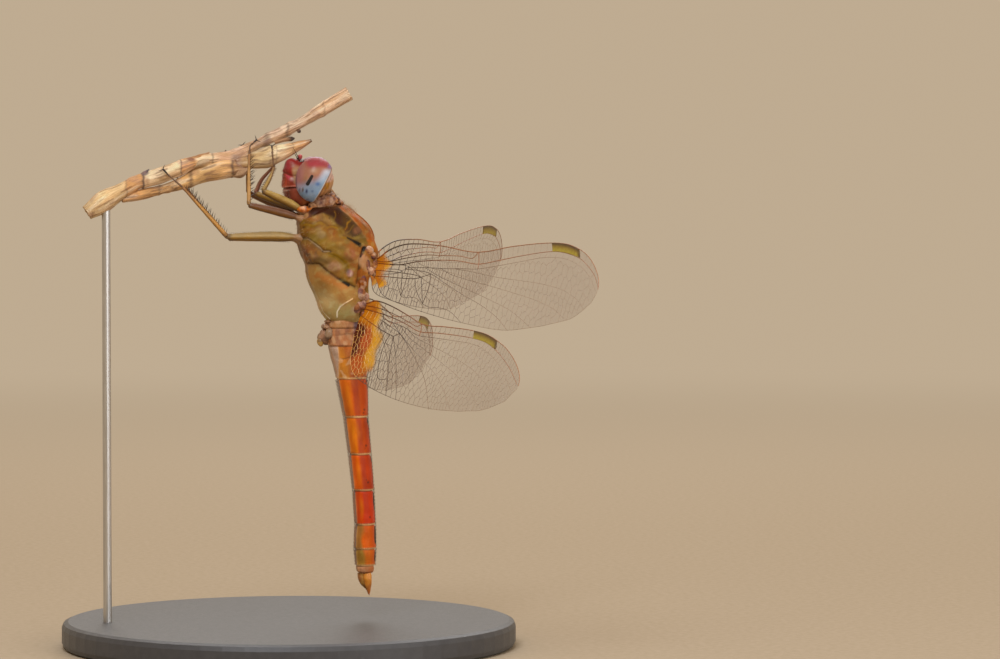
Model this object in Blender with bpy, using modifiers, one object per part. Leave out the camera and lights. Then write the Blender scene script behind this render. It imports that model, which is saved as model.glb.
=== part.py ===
"""A scarlet-type dragonfly (a maturing male) hanging head up under a cut length of twig.

The twig is held by a plain display stand: a round base and one thin rod.
The animal hangs in the plane Y = 0 with its back towards +X and its left side towards -Y.
The origin is the centre of the underside of the base.  All sizes below are in millimetres
and become metres in the meshes.
"""

import bmesh
import bpy
from math import copysign, cos, pi, sin, sqrt, tau
from mathutils import Vector

MM = 0.001
GAP = 0.06  # cut between neighbouring pieces of the animal
SHELL_SIDES = 18  # points round a section of the trunk
LEG_RESOLUTION = 1  # bevel resolution of legs and feelers: 6 sides

# Display stand
BASE_RADIUS = 21.5
BASE_THICKNESS = 2.5
BASE_EDGE = 0.6
ROD_X = -17.2
ROD_RADIUS = 0.4
ROD_FIT = 0.05  # clearance round the rod and at its ends
ROD_SOCKET = 1.2  # depth of the rod's hole in the base
ROD_TOP = 42.2  # the rod ends inside the twig

# Wings: root at the hinge, vector to the tip, direction from leading to trailing edge, and
# the tip: the share of the length where its rounding starts, and its place across the wing
WING_THICKNESS = 0.5
WING_SAG = 0.8  # height of the bow along the span
TIP_END = 0.995  # how far round the tip's ellipse the plate goes before it ends flat
FOREWING = {
    "root": (8.2, 1.6, 36.4),
    "span": (16.6, 26.1, -1.1),
    "chord": (-0.212, 0.094, -0.973),
    "tip": (0.88, 0.9),
    # (share of the length, place across the wing): leading edge, then trailing edge
    "lead": [(0.0, -0.3), (0.05, -1.35), (0.12, -2.0), (0.26, -2.1), (0.42, -1.8), (0.57, -2.6),
             (0.72, -3.15), (0.82, -3.15), (0.92, -2.4), (1.0, -1.8)],
    "trail": [(0.0, 1.45), (0.05, 3.0), (0.15, 3.8), (0.3, 4.5), (0.45, 4.95), (0.6, 5.15),
              (0.75, 4.6), (0.87, 3.8), (0.95, 3.25), (1.0, 2.9)],
}
HINDWING = {
    "root": (6.95, 1.9, 32.0),
    "span": (10.5, 26.1, -5.7),
    "chord": (-0.27, 0.15, -0.95),
    "tip": (0.86, 0.35),
    "lead": [(0.0, -0.5), (0.05, -1.15), (0.14, -1.3), (0.245, -1.15), (0.335, -1.0), (0.44, -1.6),
             (0.59, -2.35), (0.705, -2.7), (0.82, -2.3), (0.905, -1.85), (1.0, -1.8)],
    "trail": [(0.0, 2.6), (0.03, 4.8), (0.07, 5.9), (0.14, 6.35), (0.245, 6.5), (0.39, 6.3),
              (0.54, 5.7), (0.69, 4.7), (0.82, 3.4), (0.905, 2.65), (1.0, 2.6)],
}

# Thorax sections: height, front (ventral) X, back (dorsal) X, half width, roof taper
THORAX = [
    (41.95, 2.3, 4.9, 1.3, 0.1),
    (41.1, 1.3, 6.1, 2.05, 0.25),
    (40.1, 0.9, 7.1, 2.55, 0.3),
    (38.9, 0.95, 8.0, 2.9, 0.3),
    (37.4, 1.1, 8.5, 3.0, 0.22),
    (36.0, 1.6, 8.3, 3.0, 0.12),
    (34.6, 1.95, 7.75, 2.9, 0.08),
    (33.1, 2.6, 7.55, 2.65, 0.05),
    (31.9, 2.95, 7.3, 2.25, 0.05),
    (31.05, 3.45, 6.9, 1.8, 0.05),
]

# Abdomen joints from the first segment's front edge to the tail end:
# height, front X, back X, half width
ABDOMEN_JOINTS = [
    (31.0, 3.7, 7.15, 1.75),
    (30.1, 3.7, 7.1, 1.75),
    (28.4, 3.75, 7.1, 1.75),
    (25.3, 4.6, 7.35, 1.65),
    (21.64, 5.35, 7.4, 1.6),
    (18.1, 5.8, 7.7, 1.6),
    (14.67, 6.2, 7.96, 1.5),
    (11.4, 6.4, 8.1, 1.4),
    (9.08, 6.3, 8.15, 1.25),
    (7.47, 6.35, 8.13, 1.0),
    (6.75, 6.45, 8.0, 0.8),
]
ABDOMEN_ROOF = 0.22  # how much narrower the section is at its dorsal keel
ABDOMEN_SWELL = 0.06  # a segment bulges by this between its joints
GENITALIA = ((3.55, 0.0, 29.1), (0.75, 0.55, 0.62))  # the lump under segment 2: centre, radii

# Head, facing -X
EYE_CENTRE = (2.22, 1.72, 44.2)
EYE_RADII = (1.7, 1.82, 2.14)
EYE_REAR_POINT = (3.7, 0.0, 45.2)  # the slanting rear plane of both eyes
EYE_REAR_NORMAL = (0.881, 0.0, -0.473)
HEAD_CENTRE = (2.1, 0.0, 44.1)
HEAD_RADII = (2.0, 2.75, 2.05)
FACE_CENTRE = (1.1, 0.0, 43.75)
FACE_RADII = (1.78, 1.75, 2.32)
FRONS_BOTTOM = 44.75
CLYPEUS_BOTTOM = 43.3
NECK_CENTRE = (3.5, 0.0, 42.3)
NECK_RADII = (0.95, 1.1, 0.75)
ANTENNA = [(1.0, 0.4, 46.0), (0.6, 0.85, 46.6), (0.1, 1.45, 47.2)]
ANTENNA_RADIUS = 0.25

# Legs, with Y positive outwards: hip, end of the coxa, knee, ankle, wrap round the stem, toe
LEGS = {
    "fore_left": [(1.6, 1.0, 41.1), (0.85, 1.15, 41.45), (-2.6, 1.8, 43.1),
                  (-1.5, 1.4, 45.35), (-1.65, 1.35, 46.5), (-1.65, 0.85, 47.4)],
    "mid_left": [(1.3, 1.2, 40.3), (0.45, 1.6, 40.65), (-4.2, 2.5, 42.2),
                 (-3.9, 1.35, 46.1), (-3.7, 0.95, 47.15), (-3.05, 0.8, 47.9)],
    "hind_left": [(1.5, 1.1, 38.5), (0.6, 1.3, 38.75), (-6.35, 2.8, 38.85),
                  (-9.95, 1.5, 43.2), (-11.4, 1.1, 44.35), (-12.2, 1.0, 45.15)],
    "fore_right": [(1.6, 1.0, 41.1), (0.85, 1.15, 41.45), (-2.65, 1.7, 42.9),
                   (-1.3, 1.4, 45.35), (-1.4, 1.35, 46.4), (-1.5, 0.85, 47.35)],
    "mid_right": [(1.3, 1.2, 40.3), (0.45, 1.6, 40.65), (-3.4, 2.7, 42.5),
                  (-3.8, 1.35, 46.1), (-3.95, 0.95, 47.05), (-3.8, 0.8, 47.55)],
    "hind_right": [(1.5, 1.1, 38.35), (0.6, 1.3, 38.55), (-5.45, 2.8, 38.6),
                   (-9.55, 1.5, 43.35), (-10.4, 1.15, 44.35), (-11.1, 1.0, 45.05)],
}
COXA_RADIUS = 0.44
FEMUR_RADII = (0.42, 0.3)
TIBIA_RADII = (0.27, 0.25)
TARSUS_RADIUS = 0.25

# Twig: points down the middle of each stem with the radius there
TWIG_MAIN = [((-19.0, 0.0, 41.05), 0.7), ((-17.4, 0.05, 42.1), 0.95), ((-15.8, 0.0, 43.05), 0.76),
             ((-14.4, 0.0, 43.85), 0.62), ((-13.3, 0.0, 44.15), 0.66), ((-12.05, 0.0, 44.57), 0.76),
             ((-10.3, 0.0, 45.24), 0.68), ((-8.7, 0.0, 45.85), 0.52), ((-6.9, 0.0, 46.1), 0.6),
             ((-5.3, 0.05, 46.35), 0.6), ((-3.95, 0.1, 46.95), 0.55), ((-2.3, 0.2, 47.8), 0.52),
             ((1.0, 0.2, 49.4), 0.55), ((3.4, 0.1, 50.85), 0.6), ((5.8, 0.0, 52.3), 0.68)]
TWIG_UNDER = [((-15.7, 0.0, 42.35), 0.4), ((-13.5, 0.1, 42.86), 0.48), ((-11.0, 0.1, 43.5), 0.5),
              ((-9.25, 0.1, 44.2), 0.7), ((-7.6, 0.05, 44.86), 0.85), ((-6.0, 0.0, 45.24), 0.92),
              ((-4.8, 0.0, 45.33), 0.72), ((-4.1, 0.0, 45.5), 0.5)]
TWIG_SPUR = [((-4.9, 0.0, 45.75), 0.6), ((-3.5, -0.05, 46.03), 0.82), ((-2.3, -0.05, 46.2), 0.95),
             ((-1.6, -0.05, 46.4), 0.93), ((0.0, -0.05, 46.97), 0.6), ((1.15, -0.05, 47.42), 0.35),
             ((2.2, -0.05, 47.88), 0.13)]


def metres(point):
    return Vector(point) * MM


def mirrored(point, side):
    """The point of the left side (side -1) or of the right side (side 1), from Y outwards."""
    x, y, z = point
    return (x, side * y, z)


def material(name, colour, roughness, metallic=0.0):
    made = bpy.data.materials.new(name)
    made.use_nodes = True
    shader = made.node_tree.nodes["Principled BSDF"]
    shader.inputs["Base Color"].default_value = (*colour, 1.0)
    shader.inputs["Roughness"].default_value = roughness
    shader.inputs["Metallic"].default_value = metallic
    return made


def new_collection(name):
    made = bpy.data.collections.new(name)
    bpy.context.scene.collection.children.link(made)
    return made


def clear_scene():
    for thing in list(bpy.data.objects):
        bpy.data.objects.remove(thing)


def hide(cutter):
    """Keeps a cutter out of the picture."""
    cutter.hide_render = True
    cutter.display_type = "WIRE"


def object_from(bm, name, collection, finish=None):
    """Makes a bmesh a named object, with its faces pointing out."""
    bmesh.ops.recalc_face_normals(bm, faces=bm.faces)
    if bm.calc_volume(signed=True) < 0:
        bmesh.ops.reverse_faces(bm, faces=bm.faces)
    mesh = bpy.data.meshes.new(name)
    bm.to_mesh(mesh)
    bm.free()
    mesh.shade_smooth()
    mesh.set_sharp_from_angle(angle=pi / 5)
    made = bpy.data.objects.new(name, mesh)
    collection.objects.link(made)
    if finish:
        mesh.materials.append(finish)
    return made


# Shapes


def section(height, front, back, half_width, roof=0.0, boxy=2.3):
    """A level ring of the trunk: a rounded box that narrows towards the back by roof."""
    middle, depth = (front + back) / 2, (back - front) / 2
    ring = []
    for i in range(SHELL_SIDES):
        angle = tau * i / SHELL_SIDES
        along = copysign(abs(cos(angle)) ** (2 / boxy), cos(angle))
        across = copysign(abs(sin(angle)) ** (2 / boxy), sin(angle))
        ring.append(metres((middle + depth * along, half_width * across * (1 - roof * along), height)))
    return ring


def loft(rings):
    """A closed body through rings of equally many points."""
    bm = bmesh.new()
    rows = [[bm.verts.new(point) for point in ring] for ring in rings]
    for low, high in zip(rows, rows[1:]):
        for i, vert in enumerate(low):
            following = (i + 1) % len(low)
            bm.faces.new((vert, low[following], high[following], high[i]))
    bm.faces.new(rows[0])
    bm.faces.new(reversed(rows[-1]))
    return bm


def ellipsoid(centre, radii, segments=24, rings=15):
    """An ellipsoid with its poles on the Y axis.

    An odd number of rings keeps them off the plane Y = 0, where pieces of both sides meet.
    """
    bm = bmesh.new()
    bmesh.ops.create_uvsphere(bm, u_segments=segments, v_segments=rings, radius=1.0)
    for vert in bm.verts:
        x, y, z = vert.co
        vert.co = metres((centre[0] + radii[0] * x, centre[1] + radii[1] * z, centre[2] + radii[2] * y))
    return bm


def keep_behind(bm, point, normal):
    """Cuts a body by a plane and closes it, keeping what lies behind the normal."""
    everything = bm.verts[:] + bm.edges[:] + bm.faces[:]
    cut = bmesh.ops.bisect_plane(
        bm, geom=everything, plane_co=metres(point), plane_no=Vector(normal), clear_outer=True
    )
    rim = [edge for edge in cut["geom_cut"] if isinstance(edge, bmesh.types.BMEdge)]
    bmesh.ops.contextual_create(bm, geom=rim)


def tube(name, path, collection, finish=None, resolution=LEG_RESOLUTION):
    """A closed tube along (point, radius) pairs."""
    curve = bpy.data.curves.new(name, "CURVE")
    curve.dimensions = "3D"
    curve.bevel_depth = MM
    curve.bevel_resolution = resolution
    curve.use_fill_caps = True
    spline = curve.splines.new("POLY")
    spline.points.add(len(path) - 1)
    for knot, (point, radius) in zip(spline.points, path):
        knot.co = (*metres(point), 1.0)
        knot.radius = radius
    drawn = bpy.data.objects.new(name, curve)
    collection.objects.link(drawn)
    evaluated = drawn.evaluated_get(bpy.context.evaluated_depsgraph_get())
    mesh = bpy.data.meshes.new_from_object(evaluated)
    bpy.data.objects.remove(drawn)
    bm = bmesh.new()
    bm.from_mesh(mesh)
    bpy.data.meshes.remove(mesh)
    bmesh.ops.remove_doubles(bm, verts=bm.verts, dist=0.001 * MM)
    return object_from(bm, name, collection, finish)


def swollen(source, by, cutters):
    """A hidden copy of a piece, grown by a margin, to cut its neighbours with."""
    bm = bmesh.new()
    bm.from_mesh(source.data)
    bm.normal_update()
    for vert in bm.verts:
        vert.co += vert.normal * by * MM
    made = object_from(bm, source.name + "_room", cutters)
    hide(made)
    return made


def boolean(target, other, operation):
    modifier = target.modifiers.new(other.name, "BOOLEAN")
    modifier.operation = operation
    modifier.object = other


def smooth_value(knots, at):
    """A smooth curve through (place, value) knots, read at a place (Catmull-Rom)."""
    index = max(i for i, (place, _) in enumerate(knots[:-1]) if place <= at or i == 0)
    (x1, y1), (x2, y2) = knots[index], knots[index + 1]
    x0, y0 = knots[index - 1] if index else (2 * x1 - x2, y1)
    x3, y3 = knots[index + 2] if index + 2 < len(knots) else (2 * x2 - x1, y2)
    share = (at - x1) / (x2 - x1)
    slope1 = (y2 - y0) / (x2 - x0) * (x2 - x1)
    slope2 = (y3 - y1) / (x3 - x1) * (x2 - x1)
    bend = share * share * (3 - 2 * share)
    return (y1 + (y2 - y1) * bend + slope1 * share * (1 - share) ** 2
            - slope2 * share * share * (1 - share))


# The animal


def build_head(animal, cutters, finish):
    """The capsule, both eyes, the three plates of the face and the feelers.

    Returns the room the capsule needs, for cutting the neck.
    """
    eyes = []
    for word, side in (("left", -1), ("right", 1)):
        bm = ellipsoid(mirrored(EYE_CENTRE, side), EYE_RADII)
        keep_behind(bm, EYE_REAR_POINT, EYE_REAR_NORMAL)
        keep_behind(bm, (0, side * GAP / 2, 0), (0, -side, 0))
        eyes.append(object_from(bm, f"eye_{word}", animal, finish["eye"]))
    eye_rooms = [swollen(eye, GAP, cutters) for eye in eyes]

    head = object_from(ellipsoid(HEAD_CENTRE, HEAD_RADII), "head", animal, finish["amber"])
    head_room = swollen(head, GAP, cutters)
    levels = (FACE_CENTRE[2] + FACE_RADII[2] + 1, FRONS_BOTTOM, CLYPEUS_BOTTOM, FACE_CENTRE[2] - 3)
    plates = []
    for name, top, bottom in zip(("frons", "clypeus", "mouthparts"), levels, levels[1:]):
        bm = ellipsoid(FACE_CENTRE, FACE_RADII)
        keep_behind(bm, (0, 0, top - GAP / 2), (0, 0, 1))
        keep_behind(bm, (0, 0, bottom + GAP / 2), (0, 0, -1))
        plates.append(object_from(bm, name, animal, finish["face"]))
    for plate in plates:
        boolean(plate, head_room, "DIFFERENCE")
    for room in eye_rooms:
        for piece in (head, *plates):
            boolean(piece, room, "DIFFERENCE")

    plate_rooms = [swollen(plate, GAP, cutters) for plate in plates]
    for word, side in (("left", -1), ("right", 1)):
        path = [(mirrored(point, side), ANTENNA_RADIUS) for point in ANTENNA]
        feeler = tube(f"antenna_{word}", path, animal, finish["dark"])
        for room in (head_room, *eye_rooms, *plate_rooms):
            boolean(feeler, room, "DIFFERENCE")
    return head_room


def build_trunk(animal, cutters, head_room, finish):
    """The thorax and the neck between it and the head.  Returns the room the thorax needs."""
    rings = [section(*station[:4], roof=station[4], boxy=2.6) for station in THORAX]
    thorax = object_from(loft(rings), "thorax", animal, finish["olive"])
    room = swollen(thorax, GAP, cutters)
    neck = object_from(ellipsoid(NECK_CENTRE, NECK_RADII, 16, 11), "neck", animal, finish["olive"])
    boolean(neck, head_room, "DIFFERENCE")
    boolean(neck, room, "DIFFERENCE")
    return room


def segment_rings(front_joint, rear_joint):
    """Rings of one abdomen segment, swelling slightly between its two joints."""
    rings = []
    for share in (0.0, 0.15, 0.5, 0.85, 1.0):
        height, front, back, half = (a + (b - a) * share for a, b in zip(front_joint, rear_joint))
        swell = ABDOMEN_SWELL * min(1.0, 4 * share, 4 * (1 - share))
        height -= GAP * (0.5 - share)
        rings.append(section(height, front - swell, back + swell, half + swell, ABDOMEN_ROOF))
    return rings


def build_abdomen(animal, cutters, thorax_room, finish):
    """Ten segments and the three appendages at the tail end."""
    for number, (front, rear) in enumerate(zip(ABDOMEN_JOINTS, ABDOMEN_JOINTS[1:]), 1):
        name = f"abdomen_{number}"
        look = finish["red"] if number > 2 else finish["olive"]
        segment = object_from(loft(segment_rings(front, rear)), name, animal, look)
        if number == 1:
            boolean(segment, thorax_room, "DIFFERENCE")
        if number == 2:
            lump = object_from(ellipsoid(*GENITALIA, 14, 9), "genitalia", cutters)
            hide(lump)
            boolean(segment, lump, "UNION")

    tail = ABDOMEN_JOINTS[-1][0] - GAP
    for word, side in (("left", -1), ("right", 1)):
        path = [((7.5, side * 0.4, tail), 0.3), ((7.62, side * 0.42, 6.1), 0.34),
                ((7.6, side * 0.38, 5.5), 0.3), ((7.55, side * 0.33, 4.9), 0.25)]
        tube(f"cercus_{word}", path, animal, finish["red"])
    path = [((6.85, 0, tail), 0.3), ((6.95, 0, 6.0), 0.3), ((7.1, 0, 5.45), 0.25)]
    tube("epiproct", path, animal, finish["red"])


def wing_edge(wing, edge, share):
    """How far across the wing its leading or trailing edge lies; the tip is half an ellipse."""
    start, middle = wing["tip"]
    into = min(max(share - start, 0.0) / (1 - start), TIP_END)
    return middle + (smooth_value(wing[edge], share) - middle) * sqrt(1 - into * into)


def wing_point(wing, side, share, across, height=0.0):
    """A point of a wing: share of its length, millimetres across it, and height over its bow."""
    span = Vector(mirrored(wing["span"], side))
    along = span.normalized()
    chord = Vector(mirrored(wing["chord"], side))
    chord = (chord - along * chord.dot(along)).normalized()
    up = along.cross(chord) * -side
    bow = WING_SAG * 4 * share * (1 - share)
    root = Vector(mirrored(wing["root"], side))
    return root + span * share + chord * across + up * (bow + height)


def build_wing(name, wing, side, animal, finish):
    """A bowed plate between the leading and the trailing edge, in rows that crowd at its ends."""
    stations, columns = 26, 4
    bm = bmesh.new()
    rows = []
    for i in range(stations + 1):
        share = 0.5 - 0.5 * cos(pi * i / stations)
        lead, trail = wing_edge(wing, "lead", share), wing_edge(wing, "trail", share)
        row = [lead + (trail - lead) * j / columns for j in range(columns + 1)]
        rows.append([bm.verts.new(wing_point(wing, side, share, across) * MM) for across in row])
    for low, high in zip(rows, rows[1:]):
        for j in range(columns):
            bm.faces.new((low[j], low[j + 1], high[j + 1], high[j]))
    plate = object_from(bm, name, animal, finish["wing"])
    solidify = plate.modifiers.new("thickness", "SOLIDIFY")
    solidify.thickness = WING_THICKNESS * MM
    solidify.offset = 0.0
    return plate


def along_leg(start, end, distance):
    """The point at a distance in millimetres from start towards end."""
    start, end = Vector(start), Vector(end)
    return start + (end - start).normalized() * distance


def build_leg(name, points, side, animal, thorax_room, finish):
    """Femur with its coxa, tibia and tarsus of one leg, each ending just short of the next."""
    hip, coxa, knee, ankle, wrap, toe = (mirrored(point, side) for point in points)
    place = name.split("_")
    femur = [(hip, COXA_RADIUS), (coxa, COXA_RADIUS), (along_leg(coxa, knee, 0.8), FEMUR_RADII[0]),
             (along_leg(knee, coxa, 0.1), FEMUR_RADII[1])]
    tibia = [(along_leg(knee, ankle, 0.5), TIBIA_RADII[0]), (along_leg(ankle, knee, 0.1), TIBIA_RADII[1])]
    tarsus = [(along_leg(ankle, wrap, 0.25), TARSUS_RADIUS), (wrap, TARSUS_RADIUS), (toe, TARSUS_RADIUS)]
    for part, path in (("femur", femur), ("tibia", tibia), ("tarsus", tarsus)):
        limb = tube(f"{place[0]}_{part}_{place[1]}", path, animal, finish["olive"])
        if part == "femur":
            boolean(limb, thorax_room, "DIFFERENCE")


# The perch and the stand


def build_twig(perch, cutters, finish):
    """The main stem, the stem wound under it and the pointed spur, as one piece."""
    twig = tube("twig", TWIG_MAIN, perch, finish["straw"], resolution=3)
    for name, path in (("under_stem", TWIG_UNDER), ("spur", TWIG_SPUR)):
        stem = tube(name, path, cutters, resolution=3)
        hide(stem)
        boolean(twig, stem, "UNION")
    return twig


def cylinder(name, radius, low, high, x, collection, finish=None, sides=32):
    bm = bmesh.new()
    bmesh.ops.create_cone(
        bm, cap_ends=True, segments=sides, radius1=radius * MM, radius2=radius * MM, depth=(high - low) * MM
    )
    bmesh.ops.translate(bm, verts=bm.verts, vec=metres((x, 0, (low + high) / 2)))
    return object_from(bm, name, collection, finish)


def build_stand(perch, cutters, twig, finish):
    """The round base, the rod in its socket, and the rod's hole in the twig."""
    base = cylinder("stand_base", BASE_RADIUS, 0, BASE_THICKNESS, 0, perch, finish["base"], 64)
    foot = BASE_THICKNESS - ROD_SOCKET
    cylinder("stand_rod", ROD_RADIUS, foot, ROD_TOP, ROD_X, perch, finish["steel"], 16)
    hole = cylinder(
        "rod_hole", ROD_RADIUS + ROD_FIT, foot - ROD_FIT, ROD_TOP + ROD_FIT, ROD_X, cutters, sides=16
    )
    hide(hole)
    edge = base.modifiers.new("edge", "BEVEL")
    edge.width = BASE_EDGE * MM
    edge.segments = 2
    edge.limit_method = "ANGLE"
    boolean(base, hole, "DIFFERENCE")
    boolean(twig, hole, "DIFFERENCE")


def main():
    clear_scene()
    animal = new_collection("dragonfly")
    perch = new_collection("perch_and_stand")
    cutters = new_collection("cutters")
    finish = {
        "face": material("face", (0.50, 0.06, 0.03), 0.4),
        "eye": material("eye", (0.55, 0.12, 0.14), 0.15),
        "amber": material("back_of_head", (0.55, 0.25, 0.06), 0.5),
        "olive": material("thorax_and_legs", (0.45, 0.27, 0.09), 0.5),
        "red": material("abdomen", (0.72, 0.16, 0.03), 0.45),
        "wing": material("wing", (0.75, 0.68, 0.58), 0.2),
        "dark": material("feeler", (0.05, 0.03, 0.02), 0.5),
        "straw": material("twig", (0.62, 0.43, 0.28), 0.8),
        "base": material("stand_base", (0.05, 0.05, 0.055), 0.45),
        "steel": material("stand_rod", (0.6, 0.6, 0.6), 0.3, metallic=1.0),
    }
    head_room = build_head(animal, cutters, finish)
    thorax_room = build_trunk(animal, cutters, head_room, finish)
    build_abdomen(animal, cutters, thorax_room, finish)
    for pair, wing in (("forewing", FOREWING), ("hindwing", HINDWING)):
        for word, side in (("left", -1), ("right", 1)):
            plate = build_wing(f"{pair}_{word}", wing, side, animal, finish)
            boolean(plate, thorax_room, "DIFFERENCE")
    for name, points in LEGS.items():
        side = -1 if name.endswith("left") else 1
        build_leg(name, points, side, animal, thorax_room, finish)
    twig = build_twig(perch, cutters, finish)
    build_stand(perch, cutters, twig, finish)


main()
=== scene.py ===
"""Looks of a still, life-size dragonfly: a maturing scarlet-type male hanging head up from a twig.

The animal hangs in the plane Y = 0 with its back towards +X and its left side towards -Y.
Sizes are in millimetres and become metres in the meshes.
"""

from math import ceil, cos, pi, radians, sin, tau

import bpy
import numpy as np
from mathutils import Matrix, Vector


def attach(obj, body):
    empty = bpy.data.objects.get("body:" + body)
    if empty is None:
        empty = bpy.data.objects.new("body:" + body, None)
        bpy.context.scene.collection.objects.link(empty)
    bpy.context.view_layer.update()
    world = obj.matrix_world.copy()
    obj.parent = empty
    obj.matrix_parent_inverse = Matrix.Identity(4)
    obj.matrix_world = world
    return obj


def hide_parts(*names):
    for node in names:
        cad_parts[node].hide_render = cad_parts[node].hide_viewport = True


MM = 0.001
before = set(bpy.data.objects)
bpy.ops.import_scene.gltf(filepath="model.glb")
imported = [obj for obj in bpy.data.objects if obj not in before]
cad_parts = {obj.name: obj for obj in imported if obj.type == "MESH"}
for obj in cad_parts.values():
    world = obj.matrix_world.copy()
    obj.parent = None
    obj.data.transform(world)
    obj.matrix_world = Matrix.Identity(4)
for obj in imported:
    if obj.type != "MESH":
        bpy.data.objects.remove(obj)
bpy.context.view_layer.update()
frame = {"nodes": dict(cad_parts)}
HANDS = (("left", -1), ("right", 1))  # each side of the animal, and the sign of its Y
chance = np.random.default_rng(11)


# Meshes as arrays of points in millimetres


def places(piece):
    """All points of a piece, in millimetres."""
    flat = np.empty(len(piece.data.vertices) * 3)
    piece.data.vertices.foreach_get("co", flat)
    return flat.reshape(-1, 3) / MM


def outward(piece):
    """The unit normal at each point of a piece."""
    flat = np.empty(len(piece.data.vertices) * 3)
    piece.data.vertex_normals.foreach_get("vector", flat)
    return flat.reshape(-1, 3)


def put(piece, points):
    piece.data.vertices.foreach_set("co", (np.asarray(points) * MM).ravel())
    piece.data.update()


def press(piece, heights):
    """Moves each point along its normal by its own height."""
    put(piece, places(piece) + outward(piece) * np.asarray(heights)[:, None])


def stored(piece, name, values):
    """Keeps a number or a colour for each point, for the materials to read."""
    values = np.asarray(values, float)
    if values.ndim == 1:
        piece.data.attributes.new(name, "FLOAT", "POINT").data.foreach_set("value", values)
    else:
        full = np.hstack([values, np.ones((len(values), 1))])
        piece.data.attributes.new(name, "FLOAT_COLOR", "POINT").data.foreach_set("color", full.ravel())


def mesh_piece(name, points, faces):
    mesh = bpy.data.meshes.new(name)
    mesh.from_pydata((np.asarray(points) * MM).tolist(), [], [list(map(int, f)) for f in faces])
    mesh.update()
    made = bpy.data.objects.new(name, mesh)
    bpy.context.scene.collection.objects.link(made)
    return made


# Modelling by hand: select, shape, finish


def take(*pieces):
    """Selects only these pieces; the last one is active."""
    bpy.ops.object.select_all(action="DESELECT")
    for piece in pieces:
        piece.select_set(True)
    bpy.context.view_layer.objects.active = pieces[-1]


def settle(piece, name):
    """Names a piece and brings its place, turn and size into its mesh."""
    take(piece)
    bpy.ops.object.transform_apply(location=True, rotation=True, scale=True)
    piece.name = piece.data.name = name
    return piece


def smooth(piece, angle=40):
    take(piece)
    bpy.ops.object.shade_smooth_by_angle(angle=radians(angle))
    return piece


def modified(piece, kind, **settings):
    """Adds a modifier and applies it."""
    modifier = piece.modifiers.new(kind.lower(), kind)
    for key, value in settings.items():
        setattr(modifier, key, value)
    take(piece)
    bpy.ops.object.modifier_apply(modifier=modifier.name)
    return piece


def joined(name, pieces):
    take(*pieces)
    if len(pieces) > 1:
        bpy.ops.object.join()
    made = bpy.context.view_layer.objects.active
    made.name = made.data.name = name
    return made


def drawn_out(name, rings, sides):
    """A closed body drawn from a circle through level rings (height, middle X, half depth, half width)."""
    height, middle, depth, width = rings[0]
    bpy.ops.object.select_all(action="DESELECT")
    bpy.ops.mesh.primitive_circle_add(
        vertices=sides, radius=MM, fill_type="NGON", location=(middle * MM, 0, height * MM)
    )
    piece = bpy.context.object
    bpy.ops.object.mode_set(mode="EDIT")
    bpy.ops.mesh.select_all(action="SELECT")
    bpy.ops.transform.resize(value=(depth, width, 1), center_override=(middle * MM, 0, height * MM))
    for before, after in zip(rings, rings[1:]):
        step = ((after[1] - before[1]) * MM, 0, (after[0] - before[0]) * MM)
        bpy.ops.mesh.extrude_region_move(TRANSFORM_OT_translate={"value": step})
        grow = (after[2] / before[2], after[3] / before[3], 1)
        bpy.ops.transform.resize(value=grow, center_override=(after[1] * MM, 0, after[0] * MM))
    bpy.ops.mesh.select_all(action="SELECT")
    bpy.ops.mesh.normals_make_consistent(inside=False)
    bpy.ops.object.mode_set(mode="OBJECT")
    return smooth(settle(piece, name), 60)


def ball(name, centre, radii, segments=64, rings=48):
    """An ellipsoid with its poles on the Y axis."""
    bpy.ops.object.select_all(action="DESELECT")
    bpy.ops.mesh.primitive_uv_sphere_add(segments=segments, ring_count=rings, radius=MM,
                                         rotation=(pi / 2, 0, 0))
    piece = bpy.context.object
    settle(piece, name)
    put(piece, places(piece) * radii + np.array(centre))
    return smooth(piece, 60)


def cut_off(piece, point, normal):
    """Bisects a piece by a plane, closes it and keeps what lies behind the normal."""
    take(piece)
    bpy.ops.object.mode_set(mode="EDIT")
    bpy.ops.mesh.select_all(action="SELECT")
    bpy.ops.mesh.bisect(
        plane_co=Vector(point) * MM, plane_no=normal, use_fill=True, clear_outer=True, threshold=1e-7
    )
    bpy.ops.object.mode_set(mode="OBJECT")
    return piece


def paired(plates):
    """Each (centre, radii, tone), and its mirror image where it lies off the middle."""
    for centre, radii, tone in plates:
        for side in ((1, -1) if centre[1] else (1,)):
            yield mirrored(centre, side), radii, tone


def mirrored(point, side):
    return (point[0], side * point[1], point[2])


# Smooth lines and fields


def smooth_value(knots, at):
    """A smooth curve through (place, value) knots, read at a place (Catmull-Rom)."""
    index = max(i for i, (place, _) in enumerate(knots[:-1]) if place <= at or i == 0)
    (x1, y1), (x2, y2) = knots[index], knots[index + 1]
    x0, y0 = knots[index - 1] if index else (2 * x1 - x2, y1)
    x3, y3 = knots[index + 2] if index + 2 < len(knots) else (2 * x2 - x1, y2)
    share = (at - x1) / (x2 - x1)
    slope1 = (y2 - y0) / (x2 - x0) * (x2 - x1)
    slope2 = (y3 - y1) / (x3 - x1) * (x2 - x1)
    bend = share * share * (3 - 2 * share)
    return (y1 + (y2 - y1) * bend + slope1 * share * (1 - share) ** 2
            - slope2 * share * share * (1 - share))


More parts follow.
